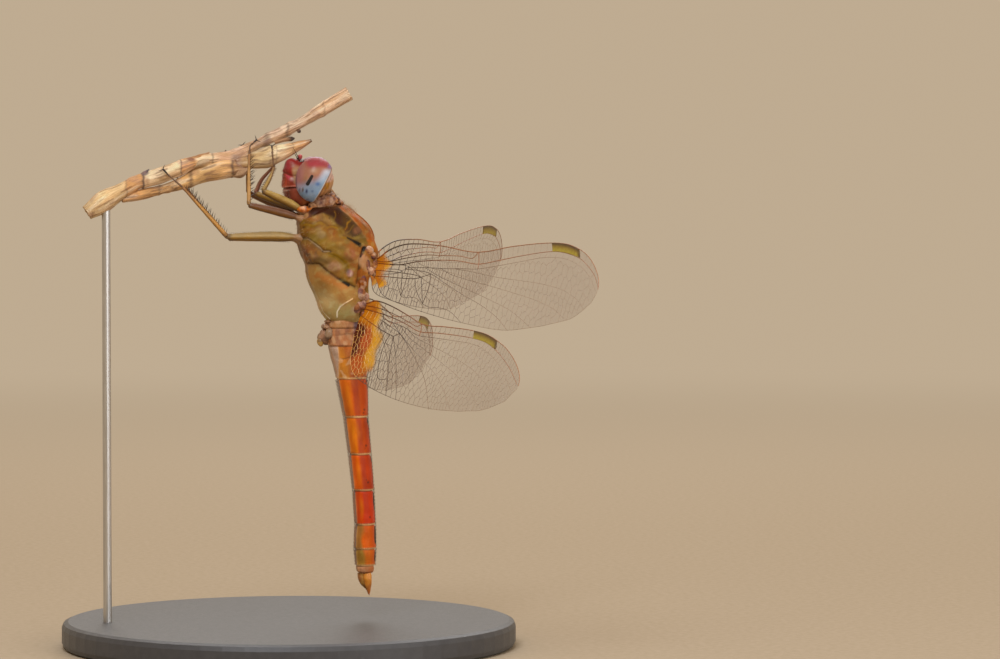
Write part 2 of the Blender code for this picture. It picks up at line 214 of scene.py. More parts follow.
def flowing(points, step):
    """Points every step or so along a smooth line through the given ones (Catmull-Rom)."""
    knots = np.array(points, float)
    knots = np.vstack([2 * knots[0] - knots[1], knots, 2 * knots[-1] - knots[-2]])
    out = []
    for a, b, c, d in zip(knots, knots[1:], knots[2:], knots[3:]):
        count = max(1, ceil(np.linalg.norm(c - b) / step))
        t = (np.arange(count) / count)[:, None]
        bend = (2 * a - 5 * b + 4 * c - d) * t**2 + (3 * b - a - 3 * c + d) * t**3
        out.append(b + 0.5 * ((c - a) * t + bend))
    return np.vstack([*out, knots[-2:-1]])


def unit(vectors):
    """The same directions with length 1."""
    return vectors / np.linalg.norm(vectors, axis=-1, keepdims=True)


def walked_along(line):
    """The length of a line from its start to each of its points."""
    steps = np.linalg.norm(np.diff(np.array(line), axis=0), axis=1)
    return np.concatenate([[0], np.cumsum(steps)])


def frames_along(points, up):
    """Unit vectors square to a line at each of its points: towards up, and across."""
    way = unit(np.gradient(points, axis=0))
    across = unit(np.cross(way, up))
    return np.cross(across, way), across


def sheet_faces(rows, columns, side):
    """Faces of a sheet of rows times columns points; the side says which way they face."""
    faces = []
    for k in range(rows - 1):
        for j in range(columns - 1):
            a = k * columns + j
            face = [a, a + 1, a + columns + 1, a + columns]
            faces.append(face if side > 0 else face[::-1])
    return faces


def eased(share):
    """0 below 0, 1 above 1, and a soft step between."""
    share = np.clip(share, 0, 1)
    return share * share * (3 - 2 * share)


def distance(points, line):
    """How far each point is from a line through the given corners."""
    line = np.array(line, float)
    best = np.full(len(points), np.inf)
    for a, b in zip(line, line[1:]):
        along = b - a
        share = np.clip((points - a) @ along / (along @ along), 0, 1)
        best = np.minimum(best, np.linalg.norm(points - a - share[:, None] * along, axis=1))
    return best


def stroke(points, line, width, soft=0.06):
    """1 within half a width of a line, fading to 0 over a soft edge."""
    return 1 - eased((distance(points, line) - width / 2) / soft)


def wedge(points, start, end, first, last, soft=0.06):
    """A straight mark whose width goes from first to last."""
    start, along = np.array(start), np.array(end) - start
    share = np.clip((points - start) @ along / (along @ along), 0, 1)
    off = np.linalg.norm(points - start - share[:, None] * along, axis=1)
    return 1 - eased((off - (first + (last - first) * share) / 2) / soft)


def spot(points, centre, radii):
    """1 at a centre, fading to 0 at the radii."""
    return eased(1 - np.linalg.norm((points - centre) / radii, axis=1))


def firm_spot(points, centre, radii, gain, most=1.0):
    """A spot with a broad even middle and a steeper edge."""
    return np.clip(gain * spot(points, centre, radii), 0, most)


def bell(offset, width):
    """1 where the offset is 0, falling off on both sides."""
    return np.exp(-((offset / width) ** 2))


def washed(colour, mask, new):
    """Lays a new colour over the colours of all points, as far as the mask goes."""
    mask = np.asarray(mask)[:, None]
    return colour * (1 - mask) + np.array(new) * mask


def painted(colour, layers):
    """Washes each (mask, tone) over the colour in turn."""
    for mask, tone in layers:
        colour = washed(colour, mask, tone)
    return colour


def mottled(points, size, seed):
    """A soft random field from -1 to 1 with lumps of about the given size."""
    waves = np.random.default_rng(seed)
    total = np.zeros(len(points))
    for _ in range(14):
        direction = waves.normal(size=points.shape[1])
        direction *= waves.uniform(0.5, 1.3) * tau / size / 2 / np.linalg.norm(direction)
        total += np.sin(points @ direction + waves.uniform(0, tau))
    return total / 3.2


# Materials


class Value:
    """An output in a material's nodes; arithmetic on it adds Math nodes."""

    def __init__(self, finish, socket):
        self.finish = finish
        self.socket = socket

    def with_math(self, operation, first, second=0.0):
        return self.finish.add("ShaderNodeMath", {"operation": operation}, {0: first, 1: second})

    def __add__(self, other):
        return self.with_math("ADD", self, other)

    def __rsub__(self, other):
        return self.with_math("SUBTRACT", other, self)

    def __mul__(self, other):
        return self.with_math("MULTIPLY", self, other)

    __radd__ = __add__
    __rmul__ = __mul__

    def step(self, low, high):
        """0 below low, 1 above high, soft between."""
        settings = {"interpolation_type": "SMOOTHSTEP"}
        return self.finish.add("ShaderNodeMapRange", settings, {0: self, 1: low, 2: high})


class Finish:
    """A material being mixed: a Principled shader and the nodes that feed it."""

    def __init__(self, name, **constants):
        self.material = bpy.data.materials.new(name)
        self.material.use_nodes = True
        self.nodes = self.material.node_tree.nodes
        self.shader = self.nodes["Principled BSDF"]
        for socket, value in constants.items():
            self.shader.inputs[socket.replace("_", " ")].default_value = value
        self.where = None

    def add(self, kind, settings=None, inputs=None, output=0):
        """Adds a node, sets it, then fills its sockets with numbers or links."""
        node = self.nodes.new(kind)
        for key, value in (settings or {}).items():
            if key == "stops":
                ramp = node.color_ramp
                while len(ramp.elements) < len(value):
                    ramp.elements.new(1.0)
                for stop, (place, colour) in zip(ramp.elements, value):
                    stop.position = place
                    stop.color = (*colour, 1.0)
            else:
                setattr(node, key, value)
        for key, value in (inputs or {}).items():
            if isinstance(value, Value):
                self.material.node_tree.links.new(value.socket, node.inputs[key])
            elif value is not None:
                node.inputs[key].default_value = value
        return Value(self, node.outputs[output])

    def place(self):
        """Object coordinates in millimetres."""
        if self.where is None:
            metres = self.add("ShaderNodeTexCoord", output="Object")
            scale = {"operation": "SCALE"}
            self.where = self.add("ShaderNodeVectorMath", scale, {0: metres, "Scale": 1 / MM})
        return self.where

    def stretched(self, factors):
        """Object coordinates, each multiplied by its own factor."""
        multiply = {"operation": "MULTIPLY"}
        return self.add("ShaderNodeVectorMath", multiply, {0: self.place(), 1: factors})

    def noise(self, per_mm, detail=4.0, where=None, roughness=0.6):
        inputs = {"Vector": where or self.place(), "Scale": per_mm, "Detail": detail,
                  "Roughness": roughness}
        return self.add("ShaderNodeTexNoise", None, inputs)

    def cells(self, per_mm, feature="F1", where=None):
        inputs = {"Vector": where or self.place(), "Scale": per_mm}
        return self.add("ShaderNodeTexVoronoi", {"feature": feature}, inputs)

    def kept(self, name):
        """A number stored on the piece."""
        return self.add("ShaderNodeAttribute", {"attribute_name": name}, output="Fac")

    def kept_colour(self, name):
        return self.add("ShaderNodeAttribute", {"attribute_name": name}, output="Color")

    def mix(self, share, first, second, blend="MIX"):
        sides = {0: share, 6: first, 7: second}
        for key in (6, 7):
            if isinstance(sides[key], tuple) and len(sides[key]) == 3:
                sides[key] = (*sides[key], 1.0)
        settings = {"data_type": "RGBA", "blend_type": blend}
        return self.add("ShaderNodeMix", settings, sides, output=2)

    def worn(self, pattern, amount, shade):
        """The painted colour, part of it multiplied by a shade where the pattern is high."""
        paint = self.kept_colour("paint")
        return self.mix(pattern, paint, self.mix(amount, paint, shade, "MULTIPLY"))

    def ramp(self, value, stops):
        return self.add("ShaderNodeValToRGB", {"stops": stops}, {0: value})

    def feed(self, **sockets):
        """Links what changes over the surface to the shader."""
        for socket, value in sockets.items():
            link = value.socket
            self.material.node_tree.links.new(link, self.shader.inputs[socket.replace("_", " ")])
        return self

    def bump(self, height, depth_mm):
        """Feeds a height pattern, depth_mm deep, to the normal."""
        inputs = {"Height": height, "Distance": depth_mm * MM, "Strength": 1.0}
        return self.feed(Normal=self.add("ShaderNodeBump", None, inputs))


def shell(name, pattern, span, amount, shade, bump=None, **constants):
    """A painted finish, worn where a noise is high, with a fine bump if asked (per mm, depth)."""
    look = Finish(name, **constants)
    look.feed(Base_Color=look.worn(look.noise(*pattern).step(*span), amount, shade))
    if bump:
        look.bump(look.noise(bump[0]), bump[1])
    return look


def dressed(piece, finish, slot, *nodes):
    """Gives a piece its material and its body and hides the nodes it stands for; the slot is not used."""
    piece.data.materials.clear()
    piece.data.materials.append(finish.material)
    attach(piece, "root")
    if nodes:
        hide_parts(*nodes)
    return piece


# Camera, light and floor

BACKDROP = (0.52, 0.41, 0.285)
VIEW_TARGET = Vector((20.24, 0, 29.86)) * MM
VIEW_TURN = radians(-9)
VIEW_RISE = radians(2.4)
VIEW_AWAY = 400 * MM
LENS = 151  # on a sensor 36 mm wide
FLOOR_RADIUS = 6000 * MM
FLOOR_DROP = 0.02 * MM  # under the stand, so that the two don't share a face


def set_camera():
    back = Vector((sin(VIEW_TURN) * cos(VIEW_RISE), -cos(VIEW_TURN) * cos(VIEW_RISE), sin(VIEW_RISE)))
    bpy.ops.object.camera_add(location=VIEW_TARGET + back * VIEW_AWAY)
    camera = bpy.context.object
    camera.rotation_euler = (-back).to_track_quat("-Z", "Y").to_euler()
    camera.data.sensor_width = 36
    camera.data.lens = LENS
    camera.data.clip_start = 0.01
    bpy.context.scene.camera = camera


def soft_light(place, size, power, colour):
    """A square area light that faces the model."""
    bpy.ops.object.light_add(type="AREA", location=Vector(place) * MM)
    lamp = bpy.context.object
    lamp.rotation_euler = (VIEW_TARGET - lamp.location).to_track_quat("-Z", "Y").to_euler()
    lamp.data.size = size * MM
    lamp.data.energy = power
    lamp.data.color = colour


def set_studio():
    soft_light((-90, -250, 320), 150, 0.95, (0.92, 0.97, 1.06))
    soft_light((240, -260, 70), 260, 0.6, (0.95, 0.97, 1.0))
    soft_light((60, 260, 260), 260, 0.5, (0.95, 0.97, 1.0))
    world = bpy.data.worlds.new("soft_air")
    bpy.context.scene.world = world
    world.use_nodes = True
    bpy.context.scene.view_settings.view_transform = "Standard"
    sky = world.node_tree.nodes["Background"]
    sky.inputs["Color"].default_value = (*BACKDROP, 1.0)
    sky.inputs["Strength"].default_value = 1.0

    bpy.ops.object.select_all(action="DESELECT")
    bpy.ops.mesh.primitive_circle_add(vertices=96, radius=FLOOR_RADIUS, fill_type="NGON",
                                      location=(0, 0, -FLOOR_DROP))
    floor = settle(bpy.context.object, "floor")
    look = Finish("pale_floor", Roughness=0.9, Emission_Strength=1.0, Specular_IOR_Level=0.0)
    away = look.add("ShaderNodeVectorMath", {"operation": "LENGTH"}, {0: look.place()}, output="Value")
    far = away.step(30.0, 520.0)
    grain = look.noise(1.5).step(0.3, 0.7)
    look.feed(
        Base_Color=look.mix(far, look.mix(grain, (0.42, 0.34, 0.24), (0.46, 0.37, 0.27)), (0.0, 0.0, 0.0)),
        Emission_Color=look.mix(far, (0.0, 0.0, 0.0), BACKDROP),
    )
    floor.data.materials.append(look.material)


# Wings

GRID = 0.05  # pitch of the grid on which the fields between the veins are found
FIELD_LOW = (-0.1, -3.6)  # its lowest corner, along and across the wing
WING_SAG = 0.8  # how high the wing bows halfway to its tip
MEMBRANE_THICK = 0.02
STIGMA_THICK = 0.11
WALL_STEP = 0.02  # pitch of the points along a crossvein while it is being found
FOREWING = {
    "root": (8.2, 1.6, 36.4),
    "span": (16.6, 26.1, -1.1),
    "chord": (-0.212, 0.094, -0.973),
    "tip": (0.88, 0.9),
    "raised": (0.0, 0.0, 1.1),  # how much farther up the tip of the right wing lies
    "lead": [(0, -0.3), (0.05, -1.35), (0.12, -2.0), (0.26, -2.1), (0.42, -1.8), (0.57, -2.6),
             (0.72, -3.15), (0.82, -3.15), (0.92, -2.4), (1, -1.8)],
    "trail": [(0, 1.45), (0.05, 3.0), (0.15, 3.8), (0.3, 4.5), (0.45, 4.95), (0.6, 5.15),
              (0.75, 4.6), (0.87, 3.8), (0.95, 3.25), (1, 2.9)],
    "stigma": (23.2, 27.2),
    # vein: height over the membrane, thickness at its root, places (along, across)
    "veins": {
        "subcosta": (-0.12, 0.12, [(0, -0.1), (1.4, -0.12), (4.1, -0.7), (6.3, -1.1), (8.3, -1.2),
                                   (10.8, -1.3), (12.6, -1.2), (13.3, -1.85)]),
        "radius": (0.12, 0.15, [(0, 0.1), (1.5, 0.1), (3.3, 0), (5.4, -0.45), (8.4, -0.78), (10.9, -0.85),
                                (13.4, -0.72), (16, -1.2), (19, -1.8), (22.6, -2.35), (24.8, -2.4),
                                (27.2, -2.0), (28.7, -1.35), (30.1, -0.4), (30.9, 0.6)]),
        "nodus": (0.0, 0.13, [(13.3, -1.85), (13.45, -1.2), (13.6, -0.25)]),
        "arculus": (0.0, 0.09, [(3.75, -0.05), (3.95, 0.5), (3.8, 0.82)]),
        "sector": (-0.1, 0.09, [(3.9, 0.3), (5.4, 0.15), (7.2, 0.05), (9.5, -0.02), (11.5, -0.15),
                                (13.5, -0.25), (16, -0.65), (19, -1.2), (22.6, -1.8), (25.5, -1.8),
                                (28, -1.15), (29.6, -0.2), (30.7, 0.9)]),
        "second_sector": (-0.08, 0.08, [(10.4, -0.08), (12.8, 0.05), (15, 0.25), (17.2, 0.4), (20, 0.5),
                                        (23, 0.65), (26, 1.05), (28.3, 1.8), (29.6, 2.7)]),
        "inter_sector": (0.08, 0.08, [(8.6, 0.02), (10.2, 0.5), (13, 0.9), (16, 1.25), (19, 1.65),
                                      (22, 2.1), (25, 2.8), (27.2, 3.75)]),
        "third_sector": (-0.08, 0.08, [(6.6, 0.1), (8.4, 0.7), (11, 1.35), (13.5, 1.9), (16.5, 2.6),
                                       (19.5, 3.4), (22.6, 4.75)]),
        "media": (0.08, 0.09, [(3.95, 0.42), (5.4, 0.4), (7.4, 0.6), (9.5, 1.35), (12, 2.2), (15, 3.1),
                               (17.5, 4.1), (19.2, 5.15)]),
        "cubitus": (-0.08, 0.11, [(0, 0.8), (1.7, 0.78), (3.7, 0.8), (5.2, 0.85), (6.2, 1.0)]),
        "anal": (0.08, 0.11, [(0, 1.35), (1.6, 1.3), (3.9, 1.28), (5.4, 1.2), (6.2, 1.0)]),
        "triangle_inner": (0.0, 0.09, [(6.2, 1.0), (6.6, 2.1), (7.1, 3.5)]),
        "triangle_top": (0.0, 0.09, [(6.2, 1.0), (7.4, 0.62)]),
        "triangle_outer": (0.0, 0.09, [(7.4, 0.62), (7.45, 2.0), (7.1, 3.5)]),
        "subtriangle": (0.0, 0.08, [(5.4, 1.2), (5.9, 2.3), (7.1, 3.5)]),
        "cubital_branch": (-0.05, 0.08, [(7.1, 3.5), (8.2, 3.75), (9.4, 3.7), (11, 3.95), (12.8, 4.85)]),
    },
    # outer edge of the amber patch: (across, along)
    "amber": [(-2, 1.0), (-0.7, 1.3), (-0.1, 1.8), (0.5, 1.6), (1.2, 1.9), (1.9, 1.3), (3, 0.7)],
}
HINDWING = {
    "root": (6.95, 1.9, 32.0),
    "span": (10.5, 26.1, -5.7),
    "chord": (-0.27, 0.15, -0.95),
    "tip": (0.8, 0.35),
    "raised": (0.0, 0.0, 0.0),
    "lead": [(0, -0.5), (0.05, -1.15), (0.14, -1.3), (0.245, -1.15), (0.335, -1.0), (0.44, -1.6),
             (0.59, -2.35), (0.705, -2.65), (0.82, -2.4), (0.905, -2.15), (1, -2.0)],
    "trail": [(0, 2.6), (0.03, 4.8), (0.07, 5.9), (0.14, 6.35), (0.245, 6.5), (0.39, 6.3),
              (0.54, 5.75), (0.69, 4.9), (0.8, 4.05), (0.9, 3.4), (1, 3.0)],
    "stigma": (17.9, 22.2),
    "veins": {
        "subcosta": (-0.12, 0.12, [(0, -0.3), (2, -0.62), (5, -0.72), (7.5, -0.62), (8.8, -0.6),
                                   (9.4, -1.05)]),
        "radius": (0.12, 0.15, [(0, 0), (2, -0.2), (4.5, -0.35), (7, -0.35), (9.4, -0.25), (12, -0.8),
                                (15, -1.35), (18, -1.8), (20.5, -1.95), (23.1, -1.6), (26, -0.8),
                                (28.4, 0.2)]),
        "nodus": (0.0, 0.13, [(9.4, -1.05), (9.5, -0.5), (9.65, 0.15)]),
        "arculus": (0.0, 0.09, [(3.1, -0.27), (3.35, 0.3), (3.2, 1.0)]),
        "sector": (-0.1, 0.09, [(3.3, 0.1), (5, 0.05), (7, 0), (9.4, 0.12), (12, -0.3), (15, -0.8),
                                (18, -1.25), (20.5, -1.35), (23.1, -0.95), (25.8, -0.15), (28, 0.9)]),
        "second_sector": (-0.08, 0.08, [(7.4, 0), (9.4, 0.4), (12, 0.45), (15, 0.5), (18, 0.6),
                                        (21, 0.9), (24, 1.6), (26.3, 2.4)]),
        "inter_sector": (0.08, 0.08, [(6.2, 0), (8.2, 0.65), (11, 1.05), (14, 1.4), (17, 1.8),
                                      (20, 2.4), (23.2, 3.5)]),
        "third_sector": (-0.08, 0.08, [(4.9, 0.05), (6.8, 0.75), (9.5, 1.5), (12.5, 2.2), (15.5, 3.0),
                                       (19, 4.9)]),
        "media": (0.08, 0.09, [(3.35, 0.3), (5, 0.5), (6.5, 0.7), (8.2, 1.3), (10.5, 2.3), (13, 3.6),
                               (15.4, 5.85)]),
        "cubitus": (-0.08, 0.12, [(0, 0.7), (2, 0.95), (4, 1.15), (5.8, 1.2)]),
        "triangle_inner": (0.0, 0.09, [(5.8, 1.2), (6.4, 1.9), (7.2, 2.6)]),
        "triangle_top": (0.0, 0.09, [(5.8, 1.2), (6.5, 0.7)]),
        "triangle_outer": (0.0, 0.09, [(6.5, 0.7), (6.9, 1.6), (7.2, 2.6)]),
        "cubital_branch": (-0.05, 0.09, [(7.2, 2.6), (8.0, 3.6), (9.0, 4.8), (9.9, 6.4)]),
        "anal": (0.06, 0.1, [(5.8, 1.2), (6.1, 2.4), (6.6, 3.7), (7.4, 5.0), (8.0, 6.5)]),
        "anal_loop": (-0.05, 0.09,
                      [(5.2, 1.2), (5.0, 2.4), (5.2, 3.7), (5.7, 5.0), (6.3, 5.4), (7.4, 5.0)]),
        "anal_branch": (0.05, 0.09, [(4.4, 1.15), (4.0, 2.4), (3.9, 3.8), (4.1, 5.2), (4.4, 6.4)]),
    },
    "amber": [(-1.2, 1.7), (-0.7, 2.3), (0, 2.7), (1.1, 3.1), (2.5, 3.7), (3.9, 4.0), (4.9, 3.9),
              (5.7, 3.4), (6.4, 2.3)],
}
RED_VEINS = ("subcosta", "radius", "nodus", "costa")


def length_of(wing):
    return float(np.linalg.norm(wing["span"]))


def wing_edge(wing, edge, share):
    """How far across the wing its leading or trailing edge lies; the tip is half an ellipse."""
    start, middle = wing["tip"]
    into = min(max(share - start, 0.0) / (1 - start), 0.999)
    return middle + (smooth_value(wing[edge], share) - middle) * (1 - into * into) ** 0.5


def wing_places(wing, side, flat, lift):
    """Points of a wing from places along and across it and heights over its bow."""
    turn = np.array([1, side, 1])
    span = np.array(wing["span"]) * turn
    along = span / length_of(wing)
    chord = np.array(wing["chord"]) * turn
    chord = unit(chord - along * (chord @ along))
    up = np.cross(along, chord) * -side
    share = flat[:, 0] / length_of(wing)
    bow = WING_SAG * 4 * share * (1 - share) + lift
    root = np.array(wing["root"]) * turn
    raised = share[:, None] * np.array(wing["raised"] if side > 0 else (0, 0, 0))
    return root + flat[:, :1] * along + flat[:, 1:] * chord + bow[:, None] * up + raised


def pleats(wing, flat):
    """Height of the membrane: it rises and falls from vein to vein."""
    total, weight = np.zeros(len(flat)), np.full(len(flat), 0.02)
    for lift, _, line in wing["veins"].values():
        near = bell(distance(flat, flowing(line, 0.4)), 0.45)
        total += lift * near
        weight += near
    return total / weight


def fields(wing):
    """Numbers the fields between the main veins on a fine grid; 0 is a vein or outside."""
    length = length_of(wing)
    along = FIELD_LOW[0] + GRID * np.arange(int((length + 0.4) / GRID))
    across = FIELD_LOW[1] + GRID * np.arange(int(10.6 / GRID))
    lead, trail = (
        np.array([wing_edge(wing, edge, min(max(u / length, 0), 1)) for u in along])[:, None]
        for edge in ("lead", "trail")
    )
    within = (along[:, None] > 0) & (along[:, None] < length)
    open_ = (across > lead) & (across < trail) & within
    for _, _, line in wing["veins"].values():
        for u, v in flowing(line, 0.02):
            i, j = round((u - FIELD_LOW[0]) / GRID), round((v - FIELD_LOW[1]) / GRID)
            open_[max(i, 0):i + 2, max(j, 0):j + 2] = False
    label = np.where(open_, 1 + np.arange(open_.size).reshape(open_.shape), 0)
    while True:
        spread = label.copy()
        spread[1:] = np.maximum(spread[1:], label[:-1])
        spread[:-1] = np.maximum(spread[:-1], label[1:])
        spread[:, 1:] = np.maximum(spread[:, 1:], label[:, :-1])
        spread[:, :-1] = np.maximum(spread[:, :-1], label[:, 1:])
        spread *= open_
        if (spread == label).all():
            return along, across, label
        label = spread


def cell_size(wing, u, v):
    """Width and height of a cell of the net, by its place on the wing."""
    share = u / length_of(wing)
    if wing is HINDWING and u < 4.3 and v > 1.2:
        return 0.42 + 0.03 * u, 0.6
    if v < -0.2:
        return 0.95 - 0.35 * share, 0.9
    return 0.72 - 0.22 * share, 0.95 - 0.4 * share


def even_seeds(samples, count):
    """Spreads seeds evenly over samples of a field, and says whose each sample is."""
    seeds = [samples[0]]
    far = ((samples - seeds[0]) ** 2).sum(1)
    for _ in range(count - 1):
        seeds.append(samples[far.argmax()])
        far = np.minimum(far, ((samples - seeds[-1]) ** 2).sum(1))
    seeds = np.array(seeds)
    for _ in range(14):
        owner = ((samples[:, None] - seeds[None]) ** 2).sum(2).argmin(1)
        for k in range(count):
            if (owner == k).any():
                seeds[k] = samples[owner == k].mean(0)
    return seeds, ((samples[:, None] - seeds[None]) ** 2).sum(2).argmin(1)


def neighbours(cells):
    """Pairs of cells that touch on the grid."""
    pairs = set()
    for a, b in ((cells[1:], cells[:-1]), (cells[:, 1:], cells[:, :-1]),
                 (cells[1:, 1:], cells[:-1, :-1]), (cells[1:, :-1], cells[:-1, 1:])):
        both = (a != b) & (a >= 0) & (b >= 0)
        pairs |= {(min(x, y), max(x, y)) for x, y in zip(a[both].tolist(), b[both].tolist())}
    return sorted(pairs)


def wall_between(seeds, i, j):
    """The line midway between two seeds, cut where a third seed is nearer."""
    middle = (seeds[i] + seeds[j]) / 2
    apart = seeds[j] - seeds[i]
    way = unit(np.array([-apart[1], apart[0]]))
    low, high = -3.0, 3.0
    rest = np.delete(seeds, [i, j], 0)
    if len(rest):
        slope = (rest - seeds[i]) @ way
        room = ((rest**2).sum(1) - (seeds[i] ** 2).sum()) / 2 - (rest - seeds[i]) @ middle
        if (slope > 1e-9).any():
            high = min(high, (room[slope > 1e-9] / slope[slope > 1e-9]).min())
        if (slope < -1e-9).any():
            low = max(low, (room[slope < -1e-9] / slope[slope < -1e-9]).max())
    if high - low < WALL_STEP:
        return None
    return middle + np.arange(low, high + WALL_STEP / 2, WALL_STEP)[:, None] * way


def crossveins(wing):
    """The short veins: walls of cells that crowd evenly into each field between the main veins."""
    along, across, label = fields(wing)
    short = []
    for field in np.unique(label)[1:]:
        where = np.argwhere(label == field)
        place = np.stack([along[where[:, 0]], across[where[:, 1]]], 1)
        width, height = cell_size(wing, *place.mean(0))
        count = round(len(where) * GRID**2 / (width * height))
        if count < 2:
            continue
        scale = np.array([height / width, 1.0])
        seeds, owner = even_seeds(place * scale, count)
        cells = np.full(label.shape, -1)
        cells[where[:, 0], where[:, 1]] = owner
        for i, j in neighbours(cells):
            line = wall_between(seeds, i, j)
            if line is None:
                continue
            line = line / scale
            at = np.round((line - FIELD_LOW) / GRID).astype(int)
            at = np.clip(at, 0, np.array(label.shape) - 1)
            own = np.flatnonzero(label[at[:, 0], at[:, 1]] == field)
            if not len(own):
                continue
            run = max(np.split(own, np.flatnonzero(np.diff(own) > 1) + 1), key=len)
            first, last = line[max(run[0] - 2, 0)], line[min(run[-1] + 2, len(line) - 1)]
            if np.linalg.norm(last - first) > 0.08:
                short.append(np.array([first, last]))
    return short


def tube(points, radii, sides, up):
    """Points and faces of a closed tube; up says which way its first side faces."""
    points = np.asarray(points, float)
    radii = np.broadcast_to(np.asarray(radii, float), len(points))
    top, across = frames_along(points, up)
    angles = tau * np.arange(sides) / sides
    ring = np.cos(angles)[None, :, None] * top[:, None] + np.sin(angles)[None, :, None] * across[:, None]
    body = (points[:, None] + ring * radii[:, None, None]).reshape(-1, 3)
    faces = []
    for k in range(len(points) - 1):
        for i in range(sides):
            j = (i + 1) % sides
            faces.append([k * sides + i, k * sides + j, (k + 1) * sides + j, (k + 1) * sides + i])
    faces.append(list(range(sides))[::-1])
    faces.append([(len(points) - 1) * sides + i for i in range(sides)])
    return body, faces


def gathered(name, parts):
    """One mesh from many (points, faces, colours) parts; colours may be None."""
    points, faces, colours, offset = [], [], [], 0
    for body, sides, colour in parts:
        points.append(body)
        faces += [[i + offset for i in face] for face in sides]
        offset += len(body)
        if colour is not None:
            colours.append(np.broadcast_to(colour, (len(body), 3)))
    piece = mesh_piece(name, np.vstack(points), faces)
    if colours:
        stored(piece, "paint", np.vstack(colours))
    return piece


def amber_share(wing, flat):
    """How far towards the outer edge of the amber patch each place is: below 1 is inside."""
    edge = np.array([smooth_value(wing["amber"], v)
                     for v in np.clip(flat[:, 1], *(wing["amber"][i][0] for i in (0, -1)))])
    return flat[:, 0] / np.maximum(edge, 0.05)


def vein_colours(wing, name, flat):
    """Dark brown veins: reddish along the front of the wing, orange and cream in the amber patch."""
    share = flat[:, 0] / length_of(wing)
    colour = washed((0.07, 0.042, 0.028), eased((share - 0.15) / 0.5), (0.4, 0.28, 0.19))
    if name in RED_VEINS:
        colour = washed(colour, eased((share - 0.08) / 0.3), (0.4, 0.17, 0.08))
    into = eased((1.12 - amber_share(wing, flat)) / 0.2)
    if wing is FOREWING or name in RED_VEINS or name == "cubitus":
        return washed(colour, into, (0.32, 0.08, 0.006))
    return washed(colour, into, (0.85, 0.5, 0.14))


def vein_lines(wing, short):
    """Name, flat line, thickness along it and number of sides of every vein of a wing."""
    length = length_of(wing)
    shares = 0.5 - 0.5 * np.cos(pi * np.arange(241) / 240)
    lines = []
    for edge, name, thick in (("lead", "costa", 0.13), ("trail", "rim", 0.06)):
        flat = np.array([(s * length, wing_edge(wing, edge, s)) for s in shares])
        lines.append((name, flat, thick * (1 - 0.55 * shares), 6))
    for name, (_, thick, line) in wing["veins"].items():
        flat = flowing(line, 0.25)
        lines.append((name, flat, 0.75 * thick * (1 - 0.6 * flat[:, 0] / length), 6))
    for line in short:
        bold = 1.5 if wing is HINDWING and amber_share(wing, line).mean() < 1 else 1.0
        lines.append(("cross", line, bold * 0.043 * (1 - 0.55 * line[:, 0] / length), 4))
    return lines


def build_veins(word, wing, side, lines):
    """The net of one wing, with the costa along its leading and the rim along its trailing edge."""
    every = np.vstack([flat for _, flat, _, _ in lines])
    body = wing_places(wing, side, every, pleats(wing, every))
    up = np.cross(np.array(wing["span"]) * (1, side, 1), np.array(wing["chord"]) * (1, side, 1))
    parts, first = [], 0
    for name, flat, thick, sides in lines:
        last = first + len(flat)
        made, faces = tube(body[first:last], thick / 2, sides, up)
        parts.append((made, faces, np.repeat(vein_colours(wing, name, flat), sides, axis=0)))
        first = last
    return gathered(f"{word}_veins", parts)


def build_membrane(word, wing, side):
    """The pleated sheet between the veins, closed and 0.02 mm thick."""
    rows, columns = 200, 30
    length = length_of(wing)
    flat = []
    for k in range(rows + 1):
        share = 0.5 - 0.5 * cos(pi * k / rows)
        lead, trail = wing_edge(wing, "lead", share), wing_edge(wing, "trail", share)
        flat += [(share * length, lead + (trail - lead) * j / columns) for j in range(columns + 1)]
    flat = np.array(flat)
    faces = sheet_faces(rows + 1, columns + 1, side)
    piece = mesh_piece(f"{word}_membrane", wing_places(wing, side, flat, pleats(wing, flat)), faces)
    share = amber_share(wing, flat)
    uneven = mottled(flat, 1.1, 5)
    amber = washed((0.6, 0.2, 0.006), 0.7 * eased(uneven), (0.48, 0.13, 0.005))
    if wing is HINDWING:
        low = eased((flat[:, 1] - 1.0) / 0.7)
        amber = painted(amber, [
            (low * eased((0.9 - share) / 0.25), (0.5, 0.085, 0.006)),
            # painted shadow between the abdomen and the wing: dark deep in the patch near the inner margin
            (low * eased((0.55 + 0.1 * uneven - share) / 0.3), (0.1, 0.016, 0.005)),
            (low * 0.7 * eased((flat[:, 1] - 4.2) / 0.8), (0.5, 0.1, 0.01)),
        ])
        distal = eased((flat[:, 0] - 1.4) / 1.2) * eased((5.6 - flat[:, 1]) / 1.4)
        amber = washed(amber, distal * eased((share - 0.68 + 0.05 * uneven) / 0.2), (0.8, 0.4, 0.006))
    else:
        amber = washed(amber, eased((share - 0.5) / 0.4), (0.76, 0.36, 0.015))
    streak = mottled(flat * (0.4, 1.6), 0.9, 6)
    clear = eased((share + 0.08 * uneven - 0.72) / 0.6 if wing is HINDWING
                  else (share + 0.3 * streak - 0.4) / 0.8)
    stored(piece, "paint", washed(amber, eased((clear - 0.55) / 0.4), (0.25, 0.16, 0.13)))
    stored(piece, "clear", clear)
    stored(piece, "dusk", clear * eased((flat[:, 0] / length - 0.25) / 0.6))
    modified(piece, "SOLIDIFY", thickness=MEMBRANE_THICK * MM, offset=0.0)
    return smooth(piece, 60)


